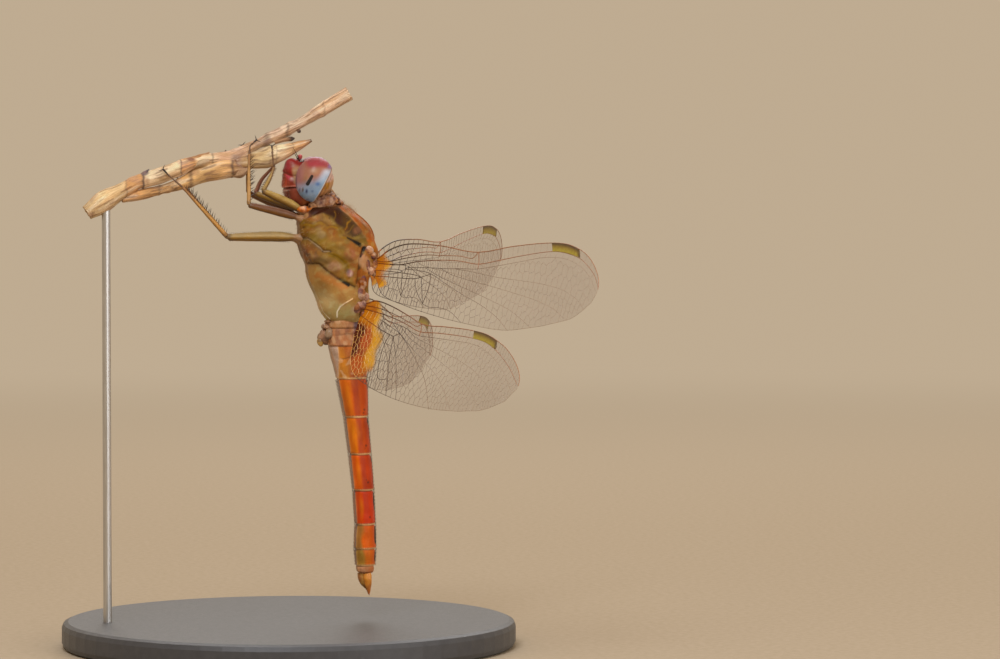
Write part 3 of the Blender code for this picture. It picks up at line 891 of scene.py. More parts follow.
def build_stigma(word, wing, side):
    """The thick coloured cell near the tip, between costa and radius."""
    first, last = wing["stigma"]
    length = length_of(wing)
    line = flowing(wing["veins"]["radius"][2], 0.1)
    columns = 6
    alongs = np.linspace(first, last, 30)
    flat = []
    for u in alongs:
        lead = wing_edge(wing, "lead", u / length)
        lower = np.interp(u, line[:, 0], line[:, 1])
        slant = 0.35 * (np.linspace(0, 1, columns) - 0.5)
        flat += [(u + s, lead + (lower - lead) * t) for s, t in zip(slant, np.linspace(0, 1, columns))]
    flat = np.array(flat)
    share = np.tile(np.linspace(0, 1, columns), len(alongs))
    ends = np.repeat(np.linspace(0, 1, len(alongs)), columns)
    crown = 0.05 * np.sqrt(np.clip(4 * share * (1 - share) * 4 * ends * (1 - ends), 0, 1))
    faces = sheet_faces(len(alongs), columns, side)
    piece = mesh_piece(f"{word}_stigma", wing_places(wing, side, flat, pleats(wing, flat)), faces)
    colour = painted((0.26, 0.17, 0.03), [
        (eased((share - 0.3) / 0.5), (0.4, 0.31, 0.04)),
        (eased((0.42 - share) / 0.4), (0.1, 0.06, 0.035)),
        (eased((ends - 0.88) / 0.12), (0.14, 0.09, 0.03)),
    ])
    stored(piece, "paint", colour)
    stored(piece, "crown", crown)
    modified(piece, "SOLIDIFY", thickness=STIGMA_THICK * MM, offset=0.0)
    return smooth(piece, 60)


def build_wings():
    veins = Finish("wing_veins", Roughness=0.38)
    veins.feed(Base_Color=veins.mix(veins.noise(6.0).step(0.35, 0.7), veins.kept_colour("paint"),
                                    (0.6, 0.55, 0.5), "MULTIPLY"))
    veins.bump(veins.noise(14.0), 0.01)
    sheet = Finish("wing_membrane", Roughness=0.22, IOR=1.45)
    clear = sheet.kept("clear")
    ripple = sheet.noise(2.2, 2.0)
    sheet.feed(
        Base_Color=sheet.kept_colour("paint"),
        Alpha=0.86 - clear * (0.85 - ripple * 0.05) + sheet.kept("dusk") * 0.1,
        Roughness=0.2 + clear * 0.12,
    )
    sheet.bump(ripple + sheet.noise(9.0) * 0.3, 0.02)
    pad = Finish("wing_stigma", Roughness=0.42)
    pad.feed(Base_Color=pad.mix(pad.noise(5.0).step(0.3, 0.8), pad.kept_colour("paint"),
                                (0.75, 0.68, 0.55), "MULTIPLY"))
    pad.bump(pad.noise(10.0), 0.02)
    for pair, wing in (("forewing", FOREWING), ("hindwing", HINDWING)):
        lines = vein_lines(wing, crossveins(wing))
        for hand, side in HANDS:
            word = f"{pair}_{hand}"
            dressed(build_membrane(word, wing, side), sheet, "wing", word)
            dressed(build_veins(word, wing, side, lines), veins, "wing")
            dressed(build_stigma(word, wing, side), pad, "wing")


# Trunk: thorax with neck, and abdomen

# height, front (ventral) X, back (dorsal) X, half width, narrowing towards the back
THORAX = [
    (43.4, 2.95, 3.95, 0.55, 0.1),
    (42.95, 2.8, 4.2, 0.8, 0.1),
    (42.5, 2.55, 4.5, 1.0, 0.1),
    (42.0, 2.25, 4.75, 1.3, 0.12),
    (41.7, 1.8, 5.4, 1.6, 0.2),
    (41.1, 1.3, 6.1, 2.0, 0.27),
    (40.1, 0.9, 7.3, 2.5, 0.33),
    (39.6, 0.92, 7.72, 2.68, 0.33),
    (38.9, 0.95, 8.05, 2.85, 0.33),
    (37.4, 1.1, 8.35, 2.95, 0.25),
    (36.0, 1.6, 8.15, 2.95, 0.16),
    (34.6, 1.95, 7.6, 2.85, 0.12),
    (33.1, 2.6, 7.4, 2.6, 0.08),
    (31.9, 2.95, 7.2, 2.2, 0.06),
    (31.0, 3.45, 6.95, 1.75, 0.05),
    (30.85, 3.6, 6.8, 1.6, 0.05),
]
THORAX_CORNERS = 2.5  # 2 is an ellipse, more is boxier
ABDOMEN_CORNERS = 2.35
ABDOMEN_ROOF = 0.22
# joints of the abdomen: height, front X, back X, half width
JOINTS = [
    (31.0, 3.7, 7.15, 1.75),
    (30.1, 3.7, 7.1, 1.75),
    (28.4, 3.75, 7.1, 1.75),
    (25.3, 4.6, 7.35, 1.65),
    (21.64, 5.35, 7.4, 1.6),
    (18.1, 5.8, 7.7, 1.6),
    (14.67, 6.2, 7.96, 1.5),
    (11.4, 6.4, 8.1, 1.4),
    (9.08, 6.3, 8.15, 1.25),
    (7.47, 6.45, 8.05, 1.0),
    (6.75, 6.6, 7.85, 0.75),
]

# colour of each segment: ventral stripe, flank, back; the dark grey-lilac back of the first two segments is
# painted shade
SEGMENT_TONES = np.array([
    [(0.46, 0.24, 0.1), (0.46, 0.23, 0.1), (0.11, 0.07, 0.085)],
    [(0.42, 0.2, 0.09), (0.42, 0.18, 0.07), (0.11, 0.07, 0.085)],
    [(0.4, 0.16, 0.022), (0.37, 0.1, 0.01), (0.38, 0.08, 0.006)],
    [(0.5, 0.11, 0.004), (0.5, 0.078, 0.002), (0.46, 0.06, 0.001)],
    [(0.58, 0.14, 0.001), (0.42, 0.06, 0.001), (0.38, 0.04, 0.001)],
    [(0.64, 0.1, 0.001), (0.42, 0.038, 0.001), (0.42, 0.034, 0.001)],
    [(0.56, 0.055, 0.001), (0.46, 0.03, 0.001), (0.46, 0.03, 0.001)],
    [(0.32, 0.14, 0.025), (0.54, 0.092, 0.002), (0.54, 0.08, 0.002)],
    [(0.28, 0.15, 0.02), (0.46, 0.11, 0.004), (0.48, 0.09, 0.003)],
    [(0.44, 0.22, 0.11), (0.4, 0.17, 0.07), (0.42, 0.15, 0.05)],
])
# black dashes along the back: reach to the side, lower and upper end
BACK_DASHES = ((0.8, 20.9, 21.5), (0.5, 17.3, 17.95), (0.75, 12.7, 14.5), (0.8, 9.5, 11.25),
               (0.7, 7.9, 8.95))
# small black spots on the flank of the abdomen: X, Z and size
FLANK_SPOTS = ((7.2, 19.0, 0.2), (7.38, 15.51, 0.19), (7.05, 22.4, 0.17), (6.95, 22.1, 0.12),
               (7.2, 15.75, 0.1), (7.55, 12.2, 0.16), (7.1, 18.75, 0.1))

# Lines on the flank of the thorax, as (X, Z) places in the side view
HUMERAL = [(1.39, 39.92), (2.09, 39.84), (2.71, 40.1), (3.23, 39.97), (3.42, 39.66), (3.85, 39.73),
           (4.37, 39.58), (4.55, 39.14), (4.75, 38.8), (5.16, 38.71), (5.8, 38.4), (6.47, 38.0)]
SIDE_SUTURE = [(0.41, 38.61), (1.54, 38.61), (2.58, 37.85), (2.95, 37.47), (3.62, 37.42)]
YELLOW_STRIPE = [(3.52, 37.19), (4.28, 36.9), (5.22, 36.15), (5.3, 35.6)]
REAR_SUTURE = [(1.53, 36.26), (2.57, 36.25), (3.33, 35.59), (3.99, 35.12), (4.56, 34.79), (5.41, 34.36),
               (5.98, 34.07)]
HINGE_LINE = [(6.88, 37.65), (6.45, 36.71), (6.36, 35.58), (6.26, 34.45)]
VENTRAL_RIDGE = [(1.5, 34.85), (1.89, 34.25), (2.33, 33.35), (2.86, 32.4), (3.2, 31.6), (3.8, 31.1)]
REAR_CURVE = [(5.69, 33.0), (5.07, 32.65), (4.6, 32.3), (4.36, 31.79), (4.4, 31.3)]
ORANGE_EDGE = [(4.2, 41.9), (4.5, 41.4), (5.63, 40.36), (6.58, 39.23), (7.01, 38.57), (7.25, 38.19),
               (7.6, 37.2)]
ORANGE_STREAK = [(2.6, 35.2), (3.8, 34.6), (5.0, 33.95)]
DARK_BAND = [(2.2, 41.4), (3.2, 41.45), (3.85, 41.15), (4.75, 40.5), (5.3, 39.9), (5.9, 39.3)]
COLLAR_LINE = [(-1.0, 40.1), (1.0, 40.3), (1.97, 40.55), (2.7, 40.95), (3.35, 41.25), (4.0, 41.5),
               (4.7, 41.6), (9.0, 41.75)]


def side_view(points):
    return points[:, [0, 2]]


def over(flat, line):
    """How far places lie over a line that runs across the side view."""
    line = np.array(line)
    return flat[:, 1] - np.interp(flat[:, 0], line[:, 0], line[:, 1])


def dorsal_of(flat, line):
    """How far places lie dorsal of a line that runs down the side view."""
    line = np.array(sorted(line, key=lambda place: place[1]))
    return flat[:, 0] - np.interp(flat[:, 1], line[:, 1], line[:, 0])


def trunk(name, stations, rows, sides, corners):
    """A body drawn through level sections, its mesh doubled twice and brought onto the smooth sections.

    A station is height, front X, back X, half width and how much it narrows towards the back.
    """
    stations = sorted(stations)
    low, high = stations[0][0], stations[-1][0]
    levels = np.linspace(low, high, 500)
    table = [[smooth_value([(s[0], s[k]) for s in stations], z) for z in levels] for k in range(1, 5)]

    def read(height):
        return [np.interp(height, levels, column) for column in table]

    rings = []
    for height in np.linspace(low, high, rows):
        front, back, half, _ = read(height)
        rings.append((height, (front + back) / 2, (back - front) / 2, half))
    piece = drawn_out(name, rings, sides)
    modified(piece, "SUBSURF", subdivision_type="SIMPLE", levels=2)
    at = places(piece)
    front, back, half, roof = read(at[:, 2])
    along = (at[:, 0] - (front + back) / 2) * 2 / (back - front)
    across = at[:, 1] / half
    reach = np.hypot(along, across)
    turn = np.arctan2(across, along)
    reach = np.where(reach > 0.985, 1, reach)
    along = np.sign(np.cos(turn)) * abs(np.cos(turn)) ** (2 / corners) * reach
    across = np.sign(np.sin(turn)) * abs(np.sin(turn)) ** (2 / corners) * reach
    at[:, 0] = (front + back) / 2 + (back - front) / 2 * along
    at[:, 1] = half * across * (1 - roof * along)
    put(piece, at)
    return smooth(piece, 60)


# soft blots between the humeral line and the side suture: place, radii, colour, strength
SIDE_BLOTS = (
    ((3.95, 39.25), (0.55, 0.5), (0.25, 0.1, 0.02), 0.85),
    ((5.2, 38.35), (0.5, 0.35), (0.3, 0.24, 0.09), 0.6),
    ((5.5, 37.2), (0.9, 0.7), (0.36, 0.14, 0.1), 0.7),
    ((2.0, 38.5), (0.7, 0.45), (0.28, 0.22, 0.06), 0.7),
    ((1.85, 39.4), (0.55, 0.5), (0.26, 0.09, 0.0), 0.95),
    ((3.6, 38.2), (0.7, 0.4), (0.33, 0.25, 0.08), 0.6),
    ((4.6, 37.7), (0.6, 0.35), (0.3, 0.19, 0.06), 0.5),
    ((4.35, 38.1), (0.4, 0.5), (0.4, 0.24, 0.06), 0.5),
)
# where the legs come out, on the left and on the right
LEG_ROOTS = ((1.3, 1.0, 41.1), (1.0, 1.2, 40.2), (1.2, 1.1, 38.45))
# shields between the wings and the hollow behind each pair: Z, size, height
SHIELDS = ((37.3, 0.75, 0.15), (36.0, 0.4, 0.2), (34.9, 0.45, -0.2), (33.2, 0.8, 0.12),
           (32.1, 0.35, 0.15), (31.5, 0.3, -0.12))


def thorax_fields(at):
    """What relief and colours share: side view, distance from the middle, flank, sutures and keel."""
    flat, across = side_view(at), abs(at[:, 1])
    flank = eased((across - 0.8) / 0.7) * eased((41.9 - at[:, 2]) / 0.4)
    sutures = (HUMERAL, SIDE_SUTURE, YELLOW_STRIPE, REAR_SUTURE)
    near = np.min([distance(flat, line) for line in sutures], axis=0)
    keel = bell(at[:, 1], 0.16) * eased((at[:, 0] - 3.6) / 0.8) * eased((at[:, 2] - 38.2) / 0.6)
    return flat, across, flank, near, keel


def thorax_relief(at):
    """Heights over the plain body: sutures, ridges, hollows, and shields between the wings."""
    flat, across, flank, near, keel = thorax_fields(at)
    ridge = distance(flat, HUMERAL)
    heights = flank * (
        0.16 * (1 - bell(near, 0.6))
        - 0.09 * bell(near, 0.1) * eased((ridge - 0.12) / 0.1)
        + 0.07 * bell(ridge, 0.12)
        + 0.2 * spot(flat, (5.45, 35.4), (0.55, 0.6))
        + 0.08 * spot(flat, (3.9, 36.1), (1.1, 0.8))
        + 0.08 * bell(distance(flat, VENTRAL_RIDGE), 0.1)
        + 0.05 * bell(distance(flat, REAR_CURVE), 0.08)
        - 0.16 * bell(distance(flat, HINGE_LINE), 0.16)
        - 0.12 * spot(flat, (6.7, 33.6), (0.5, 0.7))
        - 0.1 * spot(flat, (1.0, 37.4), (0.8, 1.6))
        + 0.1 * bell(dorsal_of(flat, ORANGE_EDGE), 0.2) * eased((flat[:, 1] - 38.2) / 0.5)
    )
    heights += 0.14 * keel + 0.02 * mottled(at, 0.6, 3) + 0.035 * mottled(at, 1.5, 4)
    heights -= 0.16 * eased(over(flat, COLLAR_LINE) / 0.2) * (at[:, 2] < 42) * eased((4.9 - at[:, 0]) / 0.4)
    back = eased((at[:, 0] - 6.2) / 0.8) * eased((1.7 - across) / 0.6)
    for z, size, rise in SHIELDS:
        heights += rise * back * bell(at[:, 2] - z, size)
    for root in LEG_ROOTS:
        heights += 0.12 * spot(np.abs(at), root, 1.1)
    return heights


def flank_regions(at, flat, jagged, uneven, over_rear):
    """The ground colours of the plates of the flank, from the rear one forwards, with painted highlights on
    two of them.
    """
    over_humeral = eased((over(flat, HUMERAL) + 0.1) / 0.25)
    over_side = eased((over(flat, SIDE_SUTURE + [(4.28, 36.9), (5.22, 36.15), (6.4, 35.6)]) + 0.05) / 0.3)
    colour = painted((0.345, 0.195, 0.068), [
        (0.5 * eased(uneven), (0.3, 0.15, 0.045)),
        (0.65 * stroke(jagged, ORANGE_STREAK, 0.12, 0.4), (0.42, 0.15, 0.035)),
        (0.7 * spot(flat, (5.0, 31.9), (1.3, 1.0)), (0.42, 0.31, 0.12)),
        (0.5 * spot(flat, (4.6, 33.3), (1.2, 1.2)), (0.42, 0.28, 0.12)),
        (over_rear, (0.31, 0.185, 0.05)),
        (over_rear * 0.85 * spot(flat, (1.5, 37.4), (1.8, 1.4)), (0.2, 0.075, 0.045)),
    ])
    speck = eased(mottled(at, 0.28, 15) * 1.5 - 0.4)
    colour = painted(colour, [
        (over_rear * 0.7 * speck * firm_spot(flat, (1.7, 37.1), (1.4, 1.3), 1.5), (0.11, 0.08, 0.08)),
        # a pale lilac-grey painted highlight on the bulge of the plate
        (over_rear * firm_spot(flat, (3.9, 36.0), (1.1, 0.6), 1.4, 0.95), (0.48, 0.37, 0.36)),
        (over_rear * 0.8 * spot(flat, (2.8, 36.6), (0.9, 0.7)), (0.38, 0.27, 0.16)),
        (over_rear * 0.85 * spot(jagged, (2.15, 36.95), (0.55, 0.5)), (0.42, 0.27, 0.2)),
        (over_side, (0.265, 0.135, 0.02)),
        (over_side * 0.75 * eased((flat[:, 0] - 4.6) / 1.2), (0.3, 0.115, 0.028)),
        (over_side * 0.6 * spot(flat, (2.9, 38.75), (1.5, 0.8)), (0.29, 0.19, 0.03)),
        (over_side * 0.6 * stroke(flat, [(2.1, 38.7), (3.6, 38.0), (5.2, 37.1)], 0.5, 0.5),
         (0.32, 0.24, 0.06)),
        # a painted highlight in the middle of the plate
        (over_side * firm_spot(flat, (2.75, 39.0), (0.6, 0.55), 1.4, 0.9), (0.4, 0.3, 0.2)),
    ])
    for centre, radii, tone, strength in SIDE_BLOTS:
        colour = washed(colour, over_side * strength * firm_spot(flat, centre, radii, 1.6), tone)
    return painted(colour, [
        (over_humeral, (0.22, 0.14, 0.022)),
        (over_humeral * 0.85 * spot(flat, (2.0, 40.6), (1.0, 0.55)), (0.38, 0.15, 0.03)),
        (over_humeral * 0.8 * spot(flat, (3.5, 40.2), (1.1, 0.5)), (0.26, 0.21, 0.1)),
        (over_humeral * 0.9 * spot(flat, (6.1, 38.75), (0.6, 0.4)), (0.34, 0.25, 0.05)),
    ])


def flank_lines(colour, flat, jagged):
    """The sutures, the yellow stripe, the breathing hole, the small hollows and the black wedges, with a
    painted highlight on the lilac bulge and painted shade in one hollow.
    """
    colour = painted(colour, [
        (0.75 * stroke(jagged, HUMERAL, 0.1, 0.16), (0.44, 0.26, 0.01)),
        (0.6 * stroke(jagged - (0, 0.16), HUMERAL, 0.05, 0.1), (0.16, 0.08, 0.03)),
        (0.6 * stroke(flat, SIDE_SUTURE, 0.12, 0.1), (0.1, 0.06, 0.04)),
        (0.9 * stroke(flat, SIDE_SUTURE, 0.03, 0.06), (0.66, 0.56, 0.5)),
        (0.95 * stroke(flat, YELLOW_STRIPE, 0.3, 0.14), (0.36, 0.22, 0.002)),
        (0.8 * stroke(flat, REAR_SUTURE, 0.08, 0.09), (0.1, 0.05, 0.02)),
        (0.95 * stroke(flat, VENTRAL_RIDGE, 0.05, 0.06), (0.85, 0.62, 0.5)),
        (0.95 * stroke(flat, REAR_CURVE, 0.04, 0.06), (0.85, 0.65, 0.5)),
        (0.8 * stroke(flat, HINGE_LINE, 0.14, 0.12), (0.03, 0.018, 0.012)),
        (0.6 * stroke(flat, [(4.95, 35.7), (5.05, 35.1), (5.4, 34.7)], 0.14, 0.12), (0.46, 0.2, 0.03)),
        # the lilac bulge: a painted highlight, white in its middle
        (firm_spot(flat, (5.45, 35.4), (0.45, 0.5), 1.7, 0.95), (0.55, 0.3, 0.46)),
        (0.8 * spot(flat, (5.58, 35.3), (0.25, 0.35)), (0.85, 0.75, 0.95)),
        (0.7 * spot(flat, (6.0, 34.8), (0.4, 0.4)), (0.42, 0.16, 0.03)),
        # painted shade in the hollow by the root of the hind wing
        (spot(flat, (6.7, 33.6), (0.55, 0.6)) * 0.9, (0.09, 0.03, 0.01)),
        (stroke(flat, [(6.6, 35.3), (7.2, 34.8), (6.7, 34.3)], 0.7, 0.2) * 0.7, (0.45, 0.13, 0.012)),
        (stroke(flat, [(6.7, 36.6), (7.2, 36.0)], 0.8, 0.25) * 0.8, (0.55, 0.34, 0.26)),
        (spot(flat, (6.0, 32.0), (0.6, 0.6)) * 0.8, (0.42, 0.26, 0.2)),
        (wedge(flat, (5.2, 38.72), (6.5, 38.02), 0.06, 0.32), (0.012, 0.01, 0.008)),
        (wedge(flat, (4.1, 35.0), (5.35, 34.3), 0.05, 0.3), (0.012, 0.01, 0.008)),
        (wedge(flat, (6.95, 37.75), (6.55, 36.9), 0.3, 0.1), (0.02, 0.014, 0.014)),
    ])
    for x, z in ((2.9, 37.45), (3.62, 37.4), (1.26, 39.69), (2.72, 41.32), (3.57, 40.47), (4.99, 39.43)):
        colour = washed(colour, 0.9 * spot(flat, (x, z), (0.13, 0.13)), (0.03, 0.015, 0.01))
    return colour


def neck_colours(colour, at, flat, fine):
    """The ring in front of the thorax, and painted shadow in the gap behind it."""
    neck = np.maximum(eased(over(flat, COLLAR_LINE) / 0.12) * eased((5.0 - at[:, 0]) / 0.2),
                      eased((at[:, 2] - 41.95) / 0.1))
    colour = painted(colour, [
        (neck, (0.5, 0.3, 0.2)),
        (0.9 * neck * eased(fine * 1.8 + 0.2), (0.09, 0.035, 0.04)),
        (neck * spot(flat, (1.5, 41.45), (0.8, 0.5)), (0.5, 0.15, 0.02)),
        (0.8 * neck * spot(flat, (0.9, 40.6), (0.7, 1.1)), (0.34, 0.17, 0.11)),
    ])
    # painted shadow in the gap under the rear edge of the ring
    gap = bell(over(flat, COLLAR_LINE) - 0.12, 0.16) * eased((4.9 - at[:, 0]) / 0.4)
    gap *= eased((at[:, 0] - 1.6) / 0.8)
    return washed(colour, 0.95 * gap, (0.045, 0.016, 0.022))


def shoulder_band(colour, at, flat, uneven, fine, flank, dorsal):
    """The dark band of the shoulder with its yellow cracks, and the rayed spot behind it."""
    band = distance(flat + 0.1 * np.stack([uneven, fine], 1), DARK_BAND)
    band = flank * eased((over(flat, HUMERAL) - 0.15) / 0.2) * eased((0.72 - band) / 0.4) * (1 - dorsal)
    band *= eased((41.85 - at[:, 2]) / 0.2)
    rear = eased((at[:, 0] - 4.4) / 0.8)
    colour = washed(colour, 0.96 * band * (1 - 0.2 * rear), (0.035, 0.008, 0.003))
    warm = spot(flat + 0.1 * np.stack([fine, uneven], 1), (5.0, 39.6), (0.5, 0.4)) * band
    colour = washed(colour, 0.5 * warm, (0.2, 0.06, 0.003))
    shaken = flat + 0.12 * np.stack([fine, uneven], 1)
    for line, strength in (([(4.75, 39.5), (5.15, 39.8), (5.5, 40.2)], 0.55),
                           ([(5.4, 39.3), (5.8, 39.65)], 0.3), ([(3.95, 40.5), (4.2, 41.1)], 0.3)):
        mask = strength * stroke(shaken, line, 0.03, 0.12) * band
        colour = washed(colour, mask, (0.4, 0.22, 0.004))
    rays = bell(np.sin(9 * (flat[:, 0] + 0.5 * flat[:, 1])), 0.35) * spot(flat, (6.2, 39.35), (0.7, 0.6))
    return painted(colour, [
        (firm_spot(flat, (6.2, 39.35), (0.6, 0.5), 1.2, 0.8) * flank * (1 - dorsal), (0.27, 0.12, 0.07)),
        (0.5 * rays * flank * (1 - dorsal), (0.1, 0.045, 0.01)),
    ])


def thorax_colours(at):
    """Olive and orange brown, with the lines and spots of the flank, the dark band and the neck, a painted
    highlight along the orange stripe and painted shade along the sutures.
    """
    flat, across, flank, near, keel = thorax_fields(at)
    uneven = mottled(at, 1.4, 7)
    fine = mottled(at, 0.45, 8)
    jagged = flat + 0.05 * np.stack([fine, mottled(at, 0.6, 9)], 1)
    over_rear = eased((over(flat, REAR_SUTURE + [(7.5, 33.4)]) + 0.1) / 0.25)
    colour = flank_regions(at, flat, jagged, uneven, over_rear)
    dorsal = eased((dorsal_of(flat, ORANGE_EDGE) + 0.05) / 0.25) * eased((at[:, 2] - 36.8) / 1.0)
    # a painted highlight along the edge of the orange stripe
    edge = bell(dorsal_of(flat, ORANGE_EDGE), 0.16) * eased((at[:, 2] - 38.4) / 0.5)
    colour = painted(colour, [
        (dorsal * eased((42.0 - at[:, 2]) / 0.3), (0.43, 0.12, 0.016)),
        (dorsal * 0.7 * eased((38.6 - at[:, 2]) / 0.6), (0.42, 0.17, 0.006)),
        (0.5 * edge * eased((42.0 - at[:, 2]) / 0.5), (0.5, 0.27, 0.13)),
        (0.7 * keel, (0.1, 0.03, 0.008)),
    ])
    lined = flank_lines(colour, flat, jagged)
    colour = colour + (lined - colour) * flank[:, None]
    colour = neck_colours(colour, at, flat, fine)
    under = eased((1.0 - across) / 0.5) * eased((3.2 - at[:, 0]) / 1.0)
    colour = washed(colour, 0.5 * under, (0.3, 0.16, 0.08))
    blots = mottled(at, 0.8, 10)
    colour = painted(colour, [
        (0.3 * eased(blots - 0.3), (0.33, 0.11, 0.04)),
        (0.3 * eased(-blots - 0.3) * over_rear, (0.25, 0.2, 0.07)),
        (0.4 * eased(fine * 1.4 - 0.6) * (0.3 + 0.7 * over_rear), (0.16, 0.08, 0.025)),
        (0.3 * eased(mottled(at, 0.35, 14) * 1.5 - 0.7), (0.42, 0.34, 0.16)),
    ])
    colour = shoulder_band(colour, at, flat, uneven, fine, flank, dorsal)
    shade = flank * (0.34 * bell(near, 0.22) + 0.3 * spot(flat, (6.5, 34.2), (0.6, 3.6)))
    colour = colour * ((0.97 + 0.1 * uneven + (0.03 + 0.13 * over_rear) * fine) * (1 - shade))[:, None]
    low = eased((0.2 - over(flat, [(1, 35.2), (3.2, 34.2), (4.6, 33.0), (7.0, 32.6)])) / 1.2)[:, None]
    tint = over_rear[:, None]
    colour = colour * (np.array((0.9, 0.78, 0.48)) * tint + np.array((1.14, 1.08, 0.78)) * (1 - tint))
    colour = colour * (1 - low) + colour * (1.15, 1.55, 2.3) * low
    pale = spot(flat, (3.3, 32.8), (1.5, 1.6))[:, None]
    colour = colour * (1 - pale) + colour * (1.35, 1.35, 1.6) * pale
    return np.clip(colour, 0, 1)


def build_thorax():
    piece = trunk("thorax_skin", THORAX, 40, 72, THORAX_CORNERS)
    at = places(piece)
    press(piece, thorax_relief(at))
    stored(piece, "paint", thorax_colours(at))
    look = Finish("thorax_shell", Roughness=0.42, Specular_IOR_Level=0.16)
    grain = look.noise(2.6, 6.0).step(0.3, 0.72)
    look.feed(
        Base_Color=look.worn(grain, 0.45, (0.9, 0.72, 0.5)),
        Roughness=0.36 + look.noise(4.0) * 0.2,
    )
    look.bump(look.noise(5.0) + look.noise(16.0) * 0.35, 0.035)
    return dressed(piece, look, "cuticle_thorax", "thorax", "neck")


def crinkled(plate, tone, seed, depth=0.035):
    """Folds the surface of a small plate and returns its colours: painted shade in the folds, painted cream
    highlights on the crests.
    """
    at = places(plate)
    folds = 0.8 * mottled(at, 0.6, seed) + 0.35 * mottled(at, 0.3, seed + 1)
    press(plate, depth * folds)
    colour = painted(tone, [
        # painted shade in the folds
        (0.85 * eased(-folds * 1.6 - 0.1), (0.09, 0.035, 0.035)),
        (0.6 * eased(mottled(at, 0.5, seed + 2) * 1.6 - 0.2), (0.45, 0.16, 0.03)),
        (0.6 * eased(mottled(at, 0.35, seed + 3) * 1.6 - 0.6), (0.12, 0.05, 0.07)),
    ])
    # painted highlight on the crests
    return washed(colour, 0.5 * eased(folds * 1.6 - 0.6), (0.82, 0.6, 0.42))


def build_hinges():
    """The small hard plates between the flank and the roots of the wings."""
    look = shell("hinge_plates", (4.0, 5.0), (0.35, 0.65), 0.7, (0.5, 0.35, 0.25), (8.0, 0.03),
                 Roughness=0.4, Specular_IOR_Level=0.22)
    plates = []
    for side in (-1, 1):
        for centre, radii, tone in (
            ((6.95, 2.0, 36.15), (0.6, 0.42, 0.85), (0.54, 0.29, 0.19)),
            ((7.5, 1.85, 35.55), (0.42, 0.36, 0.42), (0.6, 0.33, 0.2)),
            ((6.7, 2.12, 34.65), (0.46, 0.36, 0.85), (0.28, 0.07, 0.001)),
            ((6.55, 2.14, 33.45), (0.5, 0.36, 0.6), (0.24, 0.09, 0.06)),
            ((6.25, 2.04, 32.2), (0.55, 0.4, 0.65), (0.5, 0.29, 0.22)),
            ((6.8, 1.9, 32.35), (0.42, 0.35, 0.5), (0.44, 0.24, 0.16)),
            ((7.35, 1.8, 37.45), (0.5, 0.4, 0.42), (0.6, 0.34, 0.2)),
            ((7.8, 1.72, 36.95), (0.4, 0.3, 0.36), (0.34, 0.16, 0.08)),
            ((8.0, 1.62, 36.2), (0.36, 0.3, 0.42), (0.6, 0.32, 0.14)),
            ((7.9, 1.65, 35.4), (0.3, 0.26, 0.36), (0.2, 0.08, 0.03)),
            ((6.9, 1.85, 31.5), (0.36, 0.3, 0.36), (0.2, 0.1, 0.1)),
            ((7.1, 1.8, 33.1), (0.36, 0.3, 0.4), (0.5, 0.28, 0.2)),
        ):
            plate = ball("hinge_plate", mirrored(centre, side), radii, 56, 40)
            stored(plate, "paint", crinkled(plate, tone, 55))
            plates.append(plate)
    dressed(joined("wing_hinges", plates), look, "cuticle_thorax")


def joint_shares(z):
    """The number of the abdomen segment at each height and how far down it the height lies."""
    tops = np.array([joint[0] for joint in JOINTS])
    number = np.clip(np.searchsorted(-tops, -z, side="right") - 1, 0, len(JOINTS) - 2)
    return number, (tops[number] - z) / (tops[number] - tops[number + 1])


def abdomen_stations():
    """Sections of the abdomen: each segment swells a little behind its front joint."""
    stations = []
    for upper, lower in zip(JOINTS, JOINTS[1:]):
        for share, swell in ((0.0, -0.03), (0.06, 0.015), (0.3, 0.05), (0.6, 0.05), (0.94, 0.045)):
            height, front, back, half = (a + (b - a) * share for a, b in zip(upper, lower))
            stations.append((height, front - swell, back + swell, half + swell, ABDOMEN_ROOF))
    height, front, back, half = JOINTS[-1]
    return stations + [(height, front, back, half, ABDOMEN_ROOF),
                       (height - 0.05, front + 0.25, back - 0.25, half - 0.25, ABDOMEN_ROOF)]


def segment_colours(z, share, number, fine):
    """The ground colours of the segments, from the ventral stripe over the flank to the back."""
    streak = np.interp(z, [7, 12, 16, 21, 25], [0.33, 0.24, 0.3, 0.36, 0.34])
    to_flank = eased((share - streak + 0.08 + 0.05 * fine) / 0.26)
    # the first two segments turn early to their dark back colour, which is painted shade over their upper
    # flank
    to_back = np.where(number < 2, eased((share - 0.6) / 0.12), eased((share - 0.62) / 0.25))
    tone = SEGMENT_TONES[number]
    colour = tone[:, 0] * (1 - to_flank[:, None]) + tone[:, 1] * to_flank[:, None]
    return colour * (1 - to_back[:, None]) + tone[:, 2] * to_back[:, None]


def black_marks(colour, at, fine):
    """The broken black line along the back, and the small spots of the flank."""
    x, z, across = at[:, 0], at[:, 2], abs(at[:, 1])
    for reach, low, high in BACK_DASHES:
        narrow = 1 - 0.45 * ((z - (low + high) / 2) / (high - low) * 2) ** 2
        dash = eased((0.95 * reach * narrow - across + 0.05 * fine) / 0.12) * (x > 7.2)
        dash = dash * eased((z - low) / 0.12) * eased((high - z) / 0.12)
        colour = washed(colour, dash, (0.02, 0.008, 0.006))
    flat = side_view(at)
    for px, pz, size in FLANK_SPOTS:
        mask = 0.9 * spot(flat, (px, pz), size) * (across > 0.4)
        colour = washed(colour, mask, (0.03, 0.01, 0.006))
    return colour


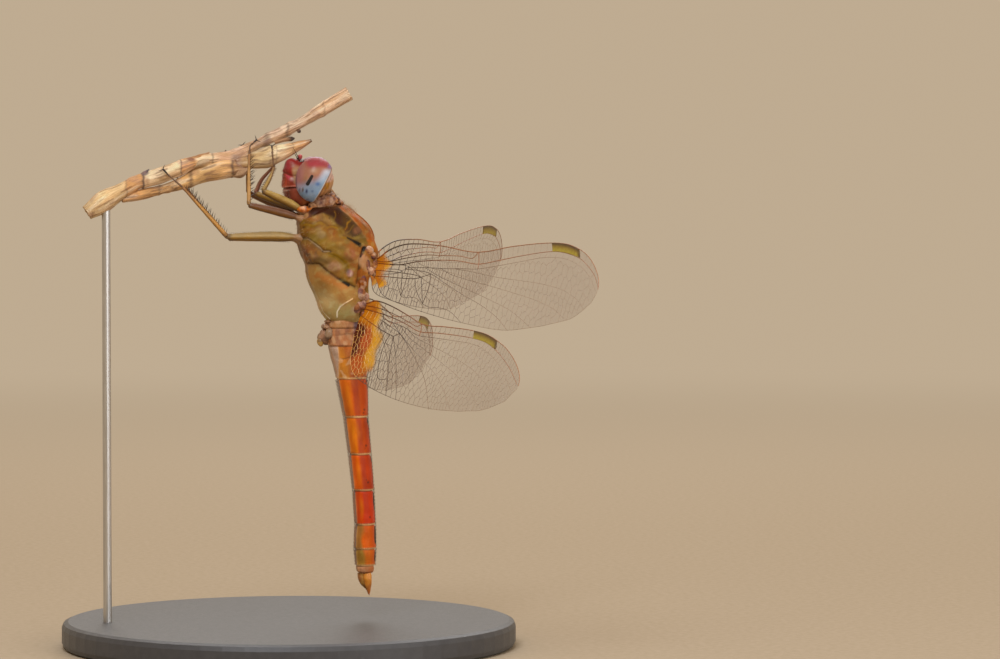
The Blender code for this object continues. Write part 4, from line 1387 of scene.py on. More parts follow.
def build_abdomen():
    piece = trunk("abdomen_skin", abdomen_stations(), 84, 36, ABDOMEN_CORNERS)
    at = places(piece)
    x, z, across = at[:, 0], at[:, 2], abs(at[:, 1])
    rows = np.array(JOINTS)[::-1]
    front, back, half = (np.interp(z, rows[:, 0], rows[:, k]) for k in (1, 2, 3))
    share = (x - front) / (back - front)
    number, down = joint_shares(z)
    tall = np.array([a[0] - b[0] for a, b in zip(JOINTS, JOINTS[1:])])[number]
    edge_share = np.interp(z, [6.7, 9, 11.4, 21.6, 25.3, 27.3, 28.4],
                           [0.01, 0.01, 0.01, 0.015, 0.03, 0.18, 0.22])
    side = eased((across / half - 0.35) / 0.3)
    carina = (share - edge_share) * (back - front)
    keel = bell(at[:, 1], 0.13) * eased((share - 0.7) / 0.15) * eased((28.2 - z) / 1.0)
    step = down * tall
    rest = (1 - down) * tall
    heights = (
        0.09 * keel * bell(0.12, step + 0.02)
        + side * 0.07 * bell(carina, 0.09) * eased((28.2 - z) / 0.5)
        - side * 0.08 * eased(-(carina + 0.05) / 0.25) * eased((28.0 - z) / 0.6) * eased((z - 7.4) / 0.4)
        - 0.05 * bell(rest, 0.06)
        + 0.035 * bell(rest - 0.16, 0.07)
        + 0.012 * mottled(at, 0.6, 11)
    )
    crease = bell(z - 27.3 + 0.1 * np.sin(3 * x), 0.06) + 0.7 * bell(z - 29.5 + 0.12 * np.sin(2 * x), 0.08)
    heights += -0.04 * side * crease * eased(share / 0.2)
    press(piece, heights)

    fine = mottled(at * (1, 1, 0.45), 0.5, 12)
    uneven = mottled(at, 1.8, 13)
    colour = segment_colours(z, share, number, fine)
    hind = (number > 1) & (number < 7)
    dusk = stroke(np.stack([share, share * 0], 1), [(0.5, 0), (0.55, 0)], 0.08, 0.13) * hind
    dusk *= np.interp(z, [11, 14, 18, 21.6, 25.3, 27], [0.15, 0.3, 0.5, 0.75, 0.9, 0.15])
    pleura = eased((edge_share - share) * (back - front) / 0.08 + 0.4) * side * hind
    under = eased((0.55 - across / half) / 0.2) * eased((0.4 - share) / 0.15) * (number > 1)
    edge = bell(carina, 0.06) * side * (number > 1)
    ring = bell(rest - 0.1, 0.07) * (number > 1) * (number < 9)
    teeth = bell(rest - 0.2, 0.035) * (number > 2) * (np.sin(np.arctan2(at[:, 1], x - 7) * 46) > -0.1)
    gap = bell(np.minimum(rest, step + 0.03), 0.05)
    colour = painted(colour, [
        (0.75 * dusk * (0.8 + 0.2 * fine).clip(0, 1), (0.24, 0.024, 0.003)),
        (0.4 * hind * spot(np.stack([share, down], 1), (0.25, 0.45), (0.2, 0.5)), (0.66, 0.22, 0.008)),
        (0.6 * eased(mottled(at, 0.5, 16) * 1.3) * (number < 2), (0.22, 0.1, 0.06)),
        (0.45 * eased(mottled(at, 0.4, 17) * 1.5 - 0.5) * (number < 3), (0.62, 0.42, 0.24)),
        (0.5 * (number == 2) * spot(np.stack([share, down], 1), (0.55, 0.2), (0.3, 0.25)),
         (0.28, 0.12, 0.04)),
        (pleura, (0.48, 0.35, 0.27)),
        (under, (0.4, 0.28, 0.2)),
        (under * (number > 5), (0.34, 0.15, 0.06)),
        (0.5 * edge, (0.62, 0.36, 0.14)),
        (np.clip(1.3 * ring, 0, 1) * eased((share + 0.1) / 0.15), (0.78, 0.52, 0.24)),
        (0.75 * teeth, (0.1, 0.025, 0.008)),
        (0.8 * gap, (0.1, 0.035, 0.015)),
        (0.6 * crease * side * eased((share - 0.22) / 0.1), (0.1, 0.045, 0.02)),
    ])
    colour = black_marks(colour, at, fine) * (1.12 + 0.08 * uneven + 0.08 * fine)[:, None]
    stored(piece, "paint", np.clip(colour, 0, 1))
    look = Finish("abdomen_shell", Roughness=0.4, Specular_IOR_Level=0.18)
    streaks = look.noise(1.0, 6.0, look.stretched((4.5, 4.5, 1.6))).step(0.3, 0.75)
    look.feed(
        Base_Color=look.worn(streaks, 0.45, (0.85, 0.5, 0.3)),
        Roughness=0.3 + look.noise(5.0) * 0.22,
    )
    look.bump(look.noise(6.0) + look.noise(20.0) * 0.4, 0.03)
    dressed(piece, look, "cuticle_abdomen", *(f"abdomen_{number}" for number in range(1, 11)))


# Limbs: rounded bodies drawn along a line


def limb(name, line, radii, step=0.12, sides=20, up=(0, 0, 1), flat=1.0):
    """A ball drawn out along a smooth line; radii are knots of (share of the length, radius).

    Returns the piece with, for each of its points, the share along the line and the turn round it
    (0 towards up).
    """
    points = flowing(line, step)
    walked = walked_along(points)
    walked /= walked[-1]
    rows = len(points)
    bpy.ops.object.select_all(action="DESELECT")
    bpy.ops.mesh.primitive_uv_sphere_add(segments=sides, ring_count=rows + 1, radius=MM)
    piece = settle(bpy.context.object, name)
    at = places(piece)
    top, across = frames_along(points, up)
    row = np.round(np.arccos(np.clip(at[:, 2], -1, 1)) / pi * (rows + 1)).astype(int)
    pole = (row == 0) | (row == rows + 1)
    turn = np.arctan2(at[:, 1], at[:, 0])
    row = np.clip(row - 1, 0, rows - 1)
    radius = np.array([smooth_value(radii, share) for share in walked])[row] * ~pole
    put(piece, points[row] + (radius * np.cos(turn))[:, None] * top[row]
        + (radius * flat * np.sin(turn))[:, None] * across[row])
    take(piece)
    bpy.ops.object.mode_set(mode="EDIT")
    bpy.ops.mesh.select_all(action="SELECT")
    bpy.ops.mesh.normals_make_consistent(inside=False)
    bpy.ops.object.mode_set(mode="OBJECT")
    return smooth(piece, 60), walked[row], turn


def spikes(name, thorns, bend=None):
    """Many thin closed cones in one mesh, three-sided, each bent a little if asked.

    A thorn is its root, its tip, its radius at the root and its colour.
    """
    parts = []
    for k, (root, tip, thick, colour) in enumerate(thorns):
        root, tip = np.array(root), np.array(tip)
        middle = (root + tip) / 2 + (0 if bend is None else bend[k])
        way = unit(tip - root)
        side = unit(np.cross(way, (0.31, 0.52, 0.79)))
        other = np.cross(way, side)
        body = []
        for centre, radius in ((root, thick), (middle, 0.7 * thick)):
            for i in range(3):
                body.append(centre + radius * (cos(tau * i / 3) * side + sin(tau * i / 3) * other))
        body.append(tip)
        faces = [[2, 1, 0], [0, 1, 4, 3], [1, 2, 5, 4], [2, 0, 3, 5], [3, 4, 6], [4, 5, 6], [5, 3, 6]]
        parts.append((np.array(body), faces, colour))
    return gathered(name, parts)


def rooted(piece, inside):
    """A map for small things that grow from a body: each is a patch at its root's place on the body's
    own shape, unrolled round its vertical axis."""
    at = places(piece)
    count = len(at) // 7
    root = at.reshape(count, 7, 3)[:, :3].mean(1)
    middle = np.array(inside)
    turn = np.arctan2(root[:, 1], root[:, 0] - middle[0]) / tau + 0.5
    height = (root[:, 2] - middle[1]) / (middle[2] - middle[1])
    corner = np.array([(0, 0), (0.5, 0), (1, 0), (0, 0.5), (0.5, 0.5), (1, 0.5), (0.5, 1)]) * 0.003
    spread = (np.stack([turn, height], 1)[:, None] * 0.99 + corner[None]).reshape(-1, 2)
    layer = piece.data.uv_layers.new(name="OFBake")
    loops = np.empty(len(piece.data.loops), dtype=np.int32)
    piece.data.loops.foreach_get("vertex_index", loops)
    layer.data.foreach_set("uv", spread[loops].astype(np.float32).ravel())
    return piece


def dark_finish(name, roughness=0.35):
    return shell(name, (6.0,), (0.3, 0.7), 0.5, (0.6, 0.5, 0.4), Roughness=roughness)


# Head

EYE_CENTRE = (2.3, 1.72, 44.2)
EYE_RADII = (1.8, 1.82, 2.14)
EYE_LEAN = radians(12)
EYE_REAR_POINT = (3.88, 0.0, 45.2)
EYE_REAR_NORMAL = (0.881, 0.0, -0.473)
HEAD_CENTRE = (2.25, 0.0, 44.25)
HEAD_RADII = (2.0, 3.28, 2.02)
FACE_CENTRE = (1.1, 0.0, 43.75)
FACE_RADII = (1.74, 1.7, 2.28)
NEARLY_BLACK = (0.02, 0.012, 0.012)


# dark spots of the eye: place and radii in the side view, colour, strength
EYE_SPOTS = (
    ((1.06, 43.21), (0.15, 0.36), (0.12, 0.07, 0.05), 0.95),
    ((1.39, 43.09), (0.19, 0.36), (0.03, 0.04, 0.13), 1),
    ((2.39, 43.77), (0.42, 0.32), (0.08, 0.17, 0.4), 0.9),
    ((0.8, 43.21), (0.13, 0.36), (0.12, 0.12, 0.24), 0.85),
    ((0.91, 42.57), (0.34, 0.18), (0.08, 0.1, 0.22), 0.75),
    ((1.92, 43.09), (0.2, 0.2), (0.1, 0.17, 0.34), 0.75),
    ((1.15, 42.4), (0.24, 0.18), (0.14, 0.1, 0.28), 0.8),
    ((1.55, 42.3), (0.24, 0.18), (0.1, 0.12, 0.3), 0.7),
    ((2.1, 42.7), (0.12, 0.16), (0.2, 0.25, 0.4), 0.5),
    ((1.6, 44.05), (0.3, 0.12), (0.3, 0.2, 0.14), 0.4),
)


def eye_colours(at):
    """Crimson cap with a painted lilac sheen on its edges, rose front, tan middle and pale blue rear and
    foot, with small dark spots.
    """
    flat = side_view(at)
    x, z = flat[:, 0], flat[:, 1]
    rear = (np.array(EYE_REAR_POINT) - at) @ np.array(EYE_REAR_NORMAL)
    fine = mottled(at, 0.5, 21)
    soft = mottled(at, 1.3, 22)
    colour = painted((0.36, 0.15, 0.085), [
        (eased((1.35 - x + 0.1 * (z - 44.5)) / 0.8), (0.37, 0.145, 0.15)),
        (0.5 * spot(flat, (2.1, 45.0), (0.7, 0.45)), (0.42, 0.26, 0.13)),
        (0.45 * spot(flat, (1.35, 44.3), (0.35, 0.6)), (0.3, 0.17, 0.07)),
    ])
    pale = eased((0.95 - rear + 0.08 * soft) / 0.7) * eased((45.45 - z) / 0.6)
    colour = washed(colour, pale, (0.5, 0.52, 0.6))
    low = eased((44.3 + 0.22 * (x - 1.0) - z + 0.12 * soft) / 1.1)
    colour = painted(colour, [
        (0.9 * low, (0.26, 0.4, 0.58)),
        (0.75 * low * eased((43.5 - z) / 0.9), (0.22, 0.4, 0.7)),
        (0.6 * low * spot(flat, (1.9, 42.75), (0.7, 0.6)), (0.34, 0.42, 0.54)),
        (0.6 * low * spot(flat, (0.8, 43.4), (0.5, 0.6)), (0.4, 0.3, 0.38)),
    ])
    cap = eased((z - 45.0 - 0.06 * soft) / 0.6) * eased((x - 0.95 + 0.2 * (z - 46)) / 0.7)
    colour = washed(colour, 0.95 * cap, (0.33, 0.026, 0.04))
    # a painted lilac sheen along the top edge of the cap
    lilac_sheen = eased((z - 45.75 - 0.42 * (1 - ((x - 2.2) / 1.3) ** 2).clip(-1, 1)) / 0.25)
    colour = washed(colour, 0.8 * lilac_sheen, (0.19, 0.11, 0.27))
    crown = eased((0.95 - abs(at[:, 1])) / 0.5) * eased((z - 45.0) / 0.6)
    colour = painted(colour, [
        (0.7 * crown, (0.3, 0.035, 0.05)),
        # a painted lilac sheen along the rear rim of the cap
        (0.85 * eased((0.62 - rear) / 0.35) * eased((z - 45.1) / 0.3), (0.22, 0.15, 0.38)),
    ])
    for centre, radii, tone, strength in EYE_SPOTS:
        colour = washed(colour, strength * spot(flat, centre, radii), tone)
    dash = wedge(flat, (1.85, 44.5), (1.46, 43.78), 0.2, 0.27, 0.07)
    colour = painted(colour, [
        (dash, (0.012, 0.006, 0.005)),
        (eased((0.14 - rear) / 0.05) * eased((44.7 - z) / 0.6), (0.7, 0.62, 0.5)),
        (eased((0.07 - rear) / 0.04), (0.09, 0.06, 0.07)),
        (rear < 0.012, (0.4, 0.22, 0.1)),
    ])
    front_edge = eased((EYE_CENTRE[0] - x - 1.7) / 0.05) * eased((z - 42.8) / 0.3)
    streaks = bell(x - 1.25 - 0.25 * (z - 44.2), 0.1) + bell(x - 2.15 - 0.25 * (z - 44.4), 0.12)
    colour = painted(colour, [
        (0.6 * front_edge, (0.12, 0.06, 0.08)),
        (0.3 * streaks * spot(flat, (1.7, 44.2), (1.2, 0.8)), (0.16, 0.08, 0.04)),
        (0.6 * eased((0.36 - abs(at[:, 1])) / 0.2), (0.12, 0.03, 0.02)),
    ])
    return np.clip(colour * (1 + 0.05 * fine)[:, None], 0, 1)


def build_eyes():
    look = Finish("compound_eye", Roughness=0.34, Specular_IOR_Level=0.3, Coat_Weight=0.12,
                  Coat_Roughness=0.15)
    facets = look.cells(15.0, "DISTANCE_TO_EDGE").step(0.0, 0.12)
    speckle = look.noise(9.0, 5.0).step(0.3, 0.75)
    look.feed(Base_Color=look.worn(speckle, 0.3, (0.75, 0.62, 0.55)))
    look.bump(facets, 0.008)
    lean = np.array([[cos(EYE_LEAN), 0, -sin(EYE_LEAN)], [0, 1, 0], [sin(EYE_LEAN), 0, cos(EYE_LEAN)]])
    for word, side in HANDS:
        centre = mirrored(EYE_CENTRE, side)
        piece = ball(f"eye_{word}_globe", centre, EYE_RADII, 224, 150)
        put(piece, (places(piece) - centre) @ lean + centre)
        cut_off(piece, EYE_REAR_POINT, EYE_REAR_NORMAL)
        cut_off(piece, (0, side * 0.03, 0), (0, -side, 0))
        stored(piece, "paint", eye_colours(places(piece)))
        dressed(smooth(piece, 40), look, "eye", f"eye_{word}")


def build_capsule():
    """The back of the head, the rims behind the eyes and the swelling between the eyes."""
    piece = ball("head_capsule", HEAD_CENTRE, HEAD_RADII, 160, 110)
    at = places(piece)
    flat, across, z = side_view(at), abs(at[:, 1]), at[:, 2]
    rear = (at - np.array(EYE_REAR_POINT)) @ np.array(EYE_REAR_NORMAL)
    heights = (
        0.05 * bell(rear - 0.16, 0.12)
        - 0.06 * bell(rear - 0.42, 0.1)
        + 0.04 * mottled(at, 0.9, 31)
        - 0.22 * eased((0.55 - across) / 0.5) * eased((rear - 0.3) / 0.6)
        - eased((0.1 - rear) / 0.3) * (0.1 + 0.35 * bell(across, 0.6))  # where the eyes meet
    )
    press(piece, heights)
    fine, soft = mottled(at, 0.35, 32), mottled(at, 1.0, 33)
    colour = painted((0.5, 0.25, 0.1), [
        (0.6 * eased(soft), (0.55, 0.3, 0.1)),
        # a pale pink painted highlight behind the rim of the eye
        (0.85 * eased((0.75 - rear + 0.1 * soft) / 0.2) * eased((z - 43.8) / 0.3)
         * eased((45.2 - z) / 0.4), (0.72, 0.5, 0.46)),
        (0.95 * eased((0.68 - rear + 0.12 * soft) / 0.15) * eased((z - 43.2) / 0.15)
         * eased((43.95 - z) / 0.2), (0.5, 0.22, 0.002)),
        (0.6 * spot(flat, (2.3, 42.6), (0.5, 0.4)), (0.3, 0.12, 0.06)),
        (0.7 * bell(rear - 0.06, 0.04), (0.06, 0.04, 0.04)),
        (0.35 * bell(rear - 0.45, 0.06), (0.2, 0.08, 0.03)),
        (0.5 * eased(fine * 2 - 0.6), (0.2, 0.09, 0.04)),
        (0.5 * eased((0.9 - across) / 0.4) * eased((rear - 0.5) / 0.5), (0.2, 0.09, 0.04)),
    ])
    top = eased((0.1 - rear) / 0.08)
    colour = painted(colour, [
        (top, (0.3, 0.035, 0.05)),
        # a painted lilac sheen where the eyes meet, as on the caps of the eyes
        (top * eased((0.5 - across) / 0.5) * 0.6, (0.2, 0.09, 0.26)),
        (top * bell(across, 0.06), (0.06, 0.015, 0.02)),
    ])
    stored(piece, "paint", np.clip(colour, 0, 1))
    look = shell("head_shell", (4.0, 6.0), (0.3, 0.7), 0.4, (0.85, 0.65, 0.45), (8.0, 0.03),
                 Roughness=0.42, Specular_IOR_Level=0.25)
    dressed(piece, look, "cuticle_head", "head")


def face_fields(at):
    """What relief and colours share: the front, and the grooves below the frons and over the lower lip."""
    x, z, across = at[:, 0], at[:, 2], abs(at[:, 1])
    brow = 44.78 - 0.25 * eased((across - 0.6) / 0.8)
    lip = 43.3 + 0.1 * (across / 1.5) ** 2
    return x, z, across, eased((1.2 - x) / 0.5), brow, lip


def face_relief(at):
    """Heights over the plain face: frons, clypeus and lips, with the grooves between them."""
    _, z, across, fore, brow, lip = face_fields(at)

    def groove(distance_to, depth, width):
        return -depth * bell(distance_to, width)

    return fore * (
        groove(z - brow, 0.08, 0.09)
        + groove(z - 44.2 - 0.1 * across, 0.05, 0.07) * eased((0.9 - across) / 0.3)
        + groove(z - lip, 0.16, 0.09)
        + 0.09 * bell(z - 45.3, 0.35)
        + groove(at[:, 1], 0.14, 0.16) * eased((z - 44.95) / 0.3)
        + 0.16 * bell(z - 44.95, 0.3)
        + groove(across - 1.02, 0.08, 0.08) * bell(z - 43.9, 0.6)
        - 0.05 * eased((43.2 - z) / 0.5)
        + 0.5 * spot(side_view(at), (0.15, 45.85), (1.0, 0.95)) * eased((1.25 - across) / 0.6)
        + groove(across - 0.55 - 0.5 * (z - 42.0).clip(0, 1), 0.07, 0.07) * eased((43.2 - z) / 0.2)
        + groove(at[:, 1], 0.05, 0.06) * eased((42.6 - z) / 0.3)
    ) + 0.012 * mottled(at, 0.45, 41)


def face_colours(at):
    """Dark red above, rose and brown in the middle, with pale lower edges, tan cheeks and painted
    highlights.
    """
    x, z, across, fore, brow, lip = face_fields(at)
    fine, soft = mottled(at, 0.4, 42), mottled(at, 1.1, 43)
    flat = side_view(at)
    frons = eased((z - brow) / 0.1)
    colour = painted((0.27, 0.035, 0.016), [
        (frons * (0.8 + 0.2 * soft).clip(0, 1), (0.22, 0.014, 0.012)),
        # a painted pink highlight down the frons
        (0.7 * frons * stroke(flat, [(0.2, 46.0), (-0.1, 45.3)], 0.15, 0.3), (0.42, 0.06, 0.075)),
    ])
    cheek = eased((x - 0.2 + 0.12 * soft) / 0.4) * eased((z - 43.6) / 0.4)
    cheek *= eased((45.55 - z + 0.1 * soft) / 0.35)
    colour = painted(colour, [
        (0.8 * cheek, (0.33, 0.17, 0.09)),
        (0.7 * cheek * eased((45.3 - z) / 0.4), (0.34, 0.22, 0.1)),
    ])
    plate = eased((brow - z) / 0.1) * eased((z - lip) / 0.1)
    colour = painted(colour, [
        (plate * 0.8 * eased((0.1 - x) / 0.4), (0.32, 0.05, 0.02)),
        (plate * 0.85 * spot(flat + 0.1 * np.stack([fine, soft], 1), (-0.1, 44.35), (0.36, 0.45)),
         (0.55, 0.07, 0.11)),
        # a painted white-pink highlight on the clypeus
        (plate * 0.9 * spot(flat + 0.12 * np.stack([soft, fine], 1), (0.22, 44.1), (0.36, 0.42)),
         (0.6, 0.42, 0.4)),
        (0.7 * plate * eased((43.75 - z) / 0.2), (0.5, 0.1, 0.03)),
        (0.85 * fore * bell(z - lip - 0.15, 0.06), (0.7, 0.28, 0.24)),
    ])
    lower = eased((lip - z) / 0.1)
    colour = painted(colour, [
        (lower, (0.25, 0.055, 0.03)),
        (lower * 0.7 * eased((42.5 - z) / 0.7), (0.24, 0.06, 0.02)),
        (lower * 0.8 * eased((x - 0.9) / 0.6), (0.45, 0.17, 0.06)),
        (lower * 0.5 * spot(flat, (0.4, 42.6), (0.8, 0.6)), (0.33, 0.08, 0.045)),
        # a painted cream highlight just below the groove over the lower lip
        (lower * 0.7 * bell(z - lip + 0.2, 0.05) * eased((0.1 - x) / 0.3), (0.5, 0.42, 0.33)),
        (0.9 * fore * bell(z - lip, 0.06), (0.03, 0.012, 0.01)),
        (0.6 * fore * bell(z - brow, 0.05), (0.1, 0.015, 0.01)),
    ])
    split = lower * bell(across - 0.55 - 0.5 * (z - 42.0).clip(0, 1), 0.05)
    colour = painted(colour, [
        (0.35 * split, (0.07, 0.02, 0.012)),
        (0.6 * eased((1.0 - across) / 0.5) * eased((z - 45.75) / 0.2), (0.12, 0.02, 0.015)),
    ])
    return np.clip(colour * (1 + 0.1 * fine + 0.08 * soft)[:, None], 0, 1)


def build_face():
    """Frons, clypeus and the lips below it as one sculpted plate."""
    piece = ball("face_skin", FACE_CENTRE, FACE_RADII, 200, 150)
    at = places(piece)
    press(piece, face_relief(at))
    stored(piece, "paint", face_colours(at))
    look = shell("face_shell", (5.0, 6.0), (0.3, 0.7), 0.4, (0.8, 0.6, 0.5), (9.0, 0.03),
                 Roughness=0.36, Specular_IOR_Level=0.25)
    return dressed(piece, look, "cuticle_head", "frons", "clypeus", "mouthparts")


FEELER = ((0.98, 0.42, 45.95), (0.85, 0.6, 46.3), (0.6, 0.85, 46.75), (0.3, 1.2, 47.2))


def build_crown():
    """The red swelling between the eyes with its three ocelli, and both feelers."""
    red = Finish("crown_swelling", Roughness=0.35)
    red.feed(Base_Color=red.ramp(red.noise(3.0), [(0.3, (0.36, 0.03, 0.03)), (0.7, (0.5, 0.09, 0.08))]))
    red.bump(red.noise(10.0), 0.02)
    piece = ball("crown_swelling", (1.12, 0, 46.1), (0.2, 0.28, 0.36), 48, 32)
    at = places(piece)
    press(piece, 0.1 * eased((at[:, 2] - 46.2) / 0.2) - 0.06 * eased(abs(at[:, 1]) / 0.3))
    dressed(piece, red, "cuticle_head")
    dark = dark_finish("dark_head_parts", 0.25)
    parts = []
    base = ball("crown_base", (1.15, 0, 45.8), (0.42, 0.72, 0.38), 48, 32)
    stored(base, "paint", [NEARLY_BLACK] * len(base.data.vertices))
    parts.append(base)
    for x, y, z, size in ((0.7, 0.0, 45.98, 0.1), (1.22, 0.6, 45.93, 0.15), (1.22, -0.6, 45.93, 0.15)):
        eyelet = ball("ocellus", (x, y, z), (size, size, size), 24, 16)
        stored(eyelet, "paint", [(0.3, 0.25, 0.24)] * len(eyelet.data.vertices))
        parts.append(eyelet)
    dressed(joined("crown_base_and_ocelli", parts), dark, "cuticle_head")
    for word, side in HANDS:
        line = [mirrored(point, side) for point in FEELER]
        radii = [(0, 0.08), (0.12, 0.08), (0.2, 0.05), (0.3, 0.035), (1, 0.016)]
        feeler, along, _ = limb(f"feeler_{word}", line, radii, 0.05, 12, (1, 0, 0))
        red_root = washed(NEARLY_BLACK, eased((0.14 - along) / 0.05), (0.2, 0.03, 0.02))
        stored(feeler, "paint", red_root)
        dressed(feeler, dark, "cuticle_head", f"antenna_{word}")


def build_collar():
    """The lobed plates of the narrow ring behind the head."""
    look = shell("collar_plates", (3.5, 5.0), (0.35, 0.65), 0.8, (0.5, 0.34, 0.3), (7.0, 0.04),
                 Roughness=0.45, Specular_IOR_Level=0.2)
    plates = []
    for centre, radii, tone in paired((
        ((3.95, 0, 42.6), (0.6, 1.3, 0.4), (0.55, 0.3, 0.16)),
        ((4.35, 0.55, 42.25), (0.5, 0.7, 0.42), (0.5, 0.22, 0.08)),
        ((4.7, 0, 41.95), (0.46, 1.3, 0.32), (0.42, 0.17, 0.06)),
        ((3.6, 1.15, 42.15), (0.62, 0.42, 0.6), (0.62, 0.4, 0.26)),
        ((2.9, 1.25, 41.9), (0.6, 0.42, 0.6), (0.46, 0.27, 0.17)),
        ((2.2, 1.2, 41.65), (0.5, 0.4, 0.45), (0.6, 0.36, 0.2)),
        ((1.45, 1.25, 41.38), (0.85, 0.5, 0.3), (0.7, 0.2, 0.015)),
        ((2.6, 0, 42.05), (0.6, 1.0, 0.5), (0.4, 0.2, 0.12)),
    )):
        plate = ball("collar_plate", centre, radii, 64, 44)
        stored(plate, "paint", crinkled(plate, tone, 51, 0.06))
        plates.append(plate)
    return dressed(joined("collar", plates), look, "cuticle_thorax")


def build_head():
    """Everything of the head; returns the face and the collar, where hair grows."""
    build_capsule()
    face = build_face()
    build_eyes()
    build_crown()
    return face, build_collar()


# Legs

# with Y positive outwards: hip, end of the coxa, knee, ankle, wrap round the stem, toe
LEGS = {
    "fore_left": [(1.6, 1.0, 41.1), (0.85, 1.15, 41.45), (-2.6, 1.8, 43.1),
                  (-1.5, 1.4, 45.35), (-1.65, 1.35, 46.5), (-1.65, 0.85, 47.4)],
    "mid_left": [(1.3, 1.2, 40.35), (0.45, 1.6, 40.68), (-4.0, 2.5, 41.8),
                 (-3.85, 1.35, 46.6), (-3.7, 0.95, 47.35), (-3.05, 0.8, 47.95)],
    "hind_left": [(1.5, 1.1, 38.5), (0.6, 1.3, 38.75), (-6.1, 2.8, 38.85),
                  (-10.1, 1.5, 43.45), (-11.3, 1.1, 44.5), (-11.95, 1.0, 45.2)],
    "fore_right": [(1.6, 1.0, 41.1), (0.85, 1.15, 41.45), (-3.0, 1.7, 42.85),
                   (-1.15, 1.4, 45.5), (-1.3, 1.35, 46.4), (-1.5, 0.85, 47.35)],
    "mid_right": [(1.3, 1.2, 40.5), (0.5, 1.6, 41.0), (-3.55, 2.7, 42.9),
                  (-3.8, 1.35, 46.1), (-4.1, 0.95, 47.0), (-4.3, 0.8, 47.45)],
    "hind_right": [(1.5, 1.1, 38.35), (0.6, 1.3, 38.55), (-5.45, 2.8, 38.6),
                   (-9.55, 1.5, 43.35), (-10.4, 1.15, 44.35), (-11.1, 1.0, 45.05)],
}
SPINE_RADIUS, FEMUR_TOOTH_RADIUS, BRISTLE_RADIUS = 0.042, 0.02, 0.014
# length of the tibia's spines, how many in a row, and their colour at the root
SPINES = {"fore": (0.4, 12, (0.16, 0.09, 0.04)), "mid": (0.85, 8, (0.03, 0.012, 0.008)),
          "hind": (0.85, 10, (0.015, 0.008, 0.008))}
TIBIA_BOW = {"fore_right": -0.28, "fore_left": 0.1}
# above, at the side, below
FEMUR_TONES = {
    "fore": ((0.44, 0.29, 0.08), (0.3, 0.16, 0.01), (0.13, 0.06, 0.008)),
    "mid": ((0.14, 0.05, 0.02), (0.14, 0.05, 0.008), (0.17, 0.065, 0.005)),
    "hind": ((0.3, 0.2, 0.07), (0.42, 0.29, 0.11), (0.3, 0.15, 0.01)),
}
# ground and crest; the right foreleg has its own
TIBIA_TONES = {
    "fore": ((0.3, 0.17, 0.02), (0.42, 0.26, 0.05)),
    "fore_right": ((0.34, 0.12, 0.08), (0.6, 0.4, 0.28)),
    "mid": ((0.42, 0.22, 0.05), (0.52, 0.28, 0.08)),
    "hind": ((0.42, 0.2, 0.03), (0.5, 0.24, 0.04)),
}
# knots of (share of the length, radius)
LEG_RADII = {
    "femur": [(0, 0.42), (0.07, 0.4), (0.12, 0.27), (0.16, 0.24), (0.24, 0.33), (0.4, 0.38), (0.7, 0.34),
              (0.9, 0.28), (0.96, 0.25), (0.985, 0.25), (1, 0.16)],
    "tibia": [(0, 0.16), (0.03, 0.24), (0.1, 0.21), (0.3, 0.2), (0.6, 0.16), (0.9, 0.13), (0.98, 0.14),
              (1, 0.08)],
    "tarsus": [(0, 0.08), (0.08, 0.11), (0.3, 0.085), (0.34, 0.115), (0.38, 0.07), (0.6, 0.085),
               (0.66, 0.115), (0.7, 0.065), (0.96, 0.09), (1, 0.05)],
}


def between(start, end, share):
    return np.array(start) * (1 - share) + np.array(end) * share


def leg_colours(word, part, share, turn, at):
    """Olive and brown legs, pale above and dark below, with a painted highlight along the middle femur."""
    place = word.split("_")[0]
    fine = mottled(at, 0.35, 61)
    above = eased((np.cos(turn) - 0.05 + 0.05 * fine) / 0.5)
    below = eased((-np.cos(turn) - 0.15 + 0.05 * fine) / 0.35)
    tone = FEMUR_TONES[place]
    if part == "femur":
        colour = painted(tone[1], [
            (above, tone[0]),
            (0.9 * below, tone[2]),
            (0.9 * eased((-np.cos(turn) - 0.8) / 0.15), (0.08, 0.032, 0.006)),
        ])
        # a painted highlight along the upper side of the middle femur
        if place == "mid":
            colour = washed(colour, 0.55 * eased((np.cos(turn) - 0.6) / 0.1)
                            * eased((0.85 - np.cos(turn)) / 0.1), (0.55, 0.42, 0.34))
        colour = painted(colour, [
            (0.8 * eased((0.2 - share) / 0.06), (0.36, 0.19, 0.09)),
            (0.6 * eased(0.12 - abs(share - 0.2)) / 0.12 * eased(fine), (0.12, 0.06, 0.03)),
            (0.7 * eased((share - 0.93) / 0.05), (0.12, 0.06, 0.02)),
        ])
    elif part == "tibia":
        ground, crest = TIBIA_TONES.get(word) or TIBIA_TONES[place]
        colour = painted(ground, [
            (0.5 * above, crest),
            (0.6 * below, (0.12, 0.05, 0.015)),
            (0.6 * eased((0.1 - share) / 0.06), (0.1, 0.05, 0.02)),
            (0.6 * eased((share - 0.55) / 0.4), (0.2, 0.08, 0.03)),
        ])
    else:
        colour = washed((0.16, 0.08, 0.035), eased((share - 0.6) / 0.3), (0.03, 0.018, 0.015))
    return np.clip(colour * (0.95 + 0.08 * fine)[:, None], 0, 1)


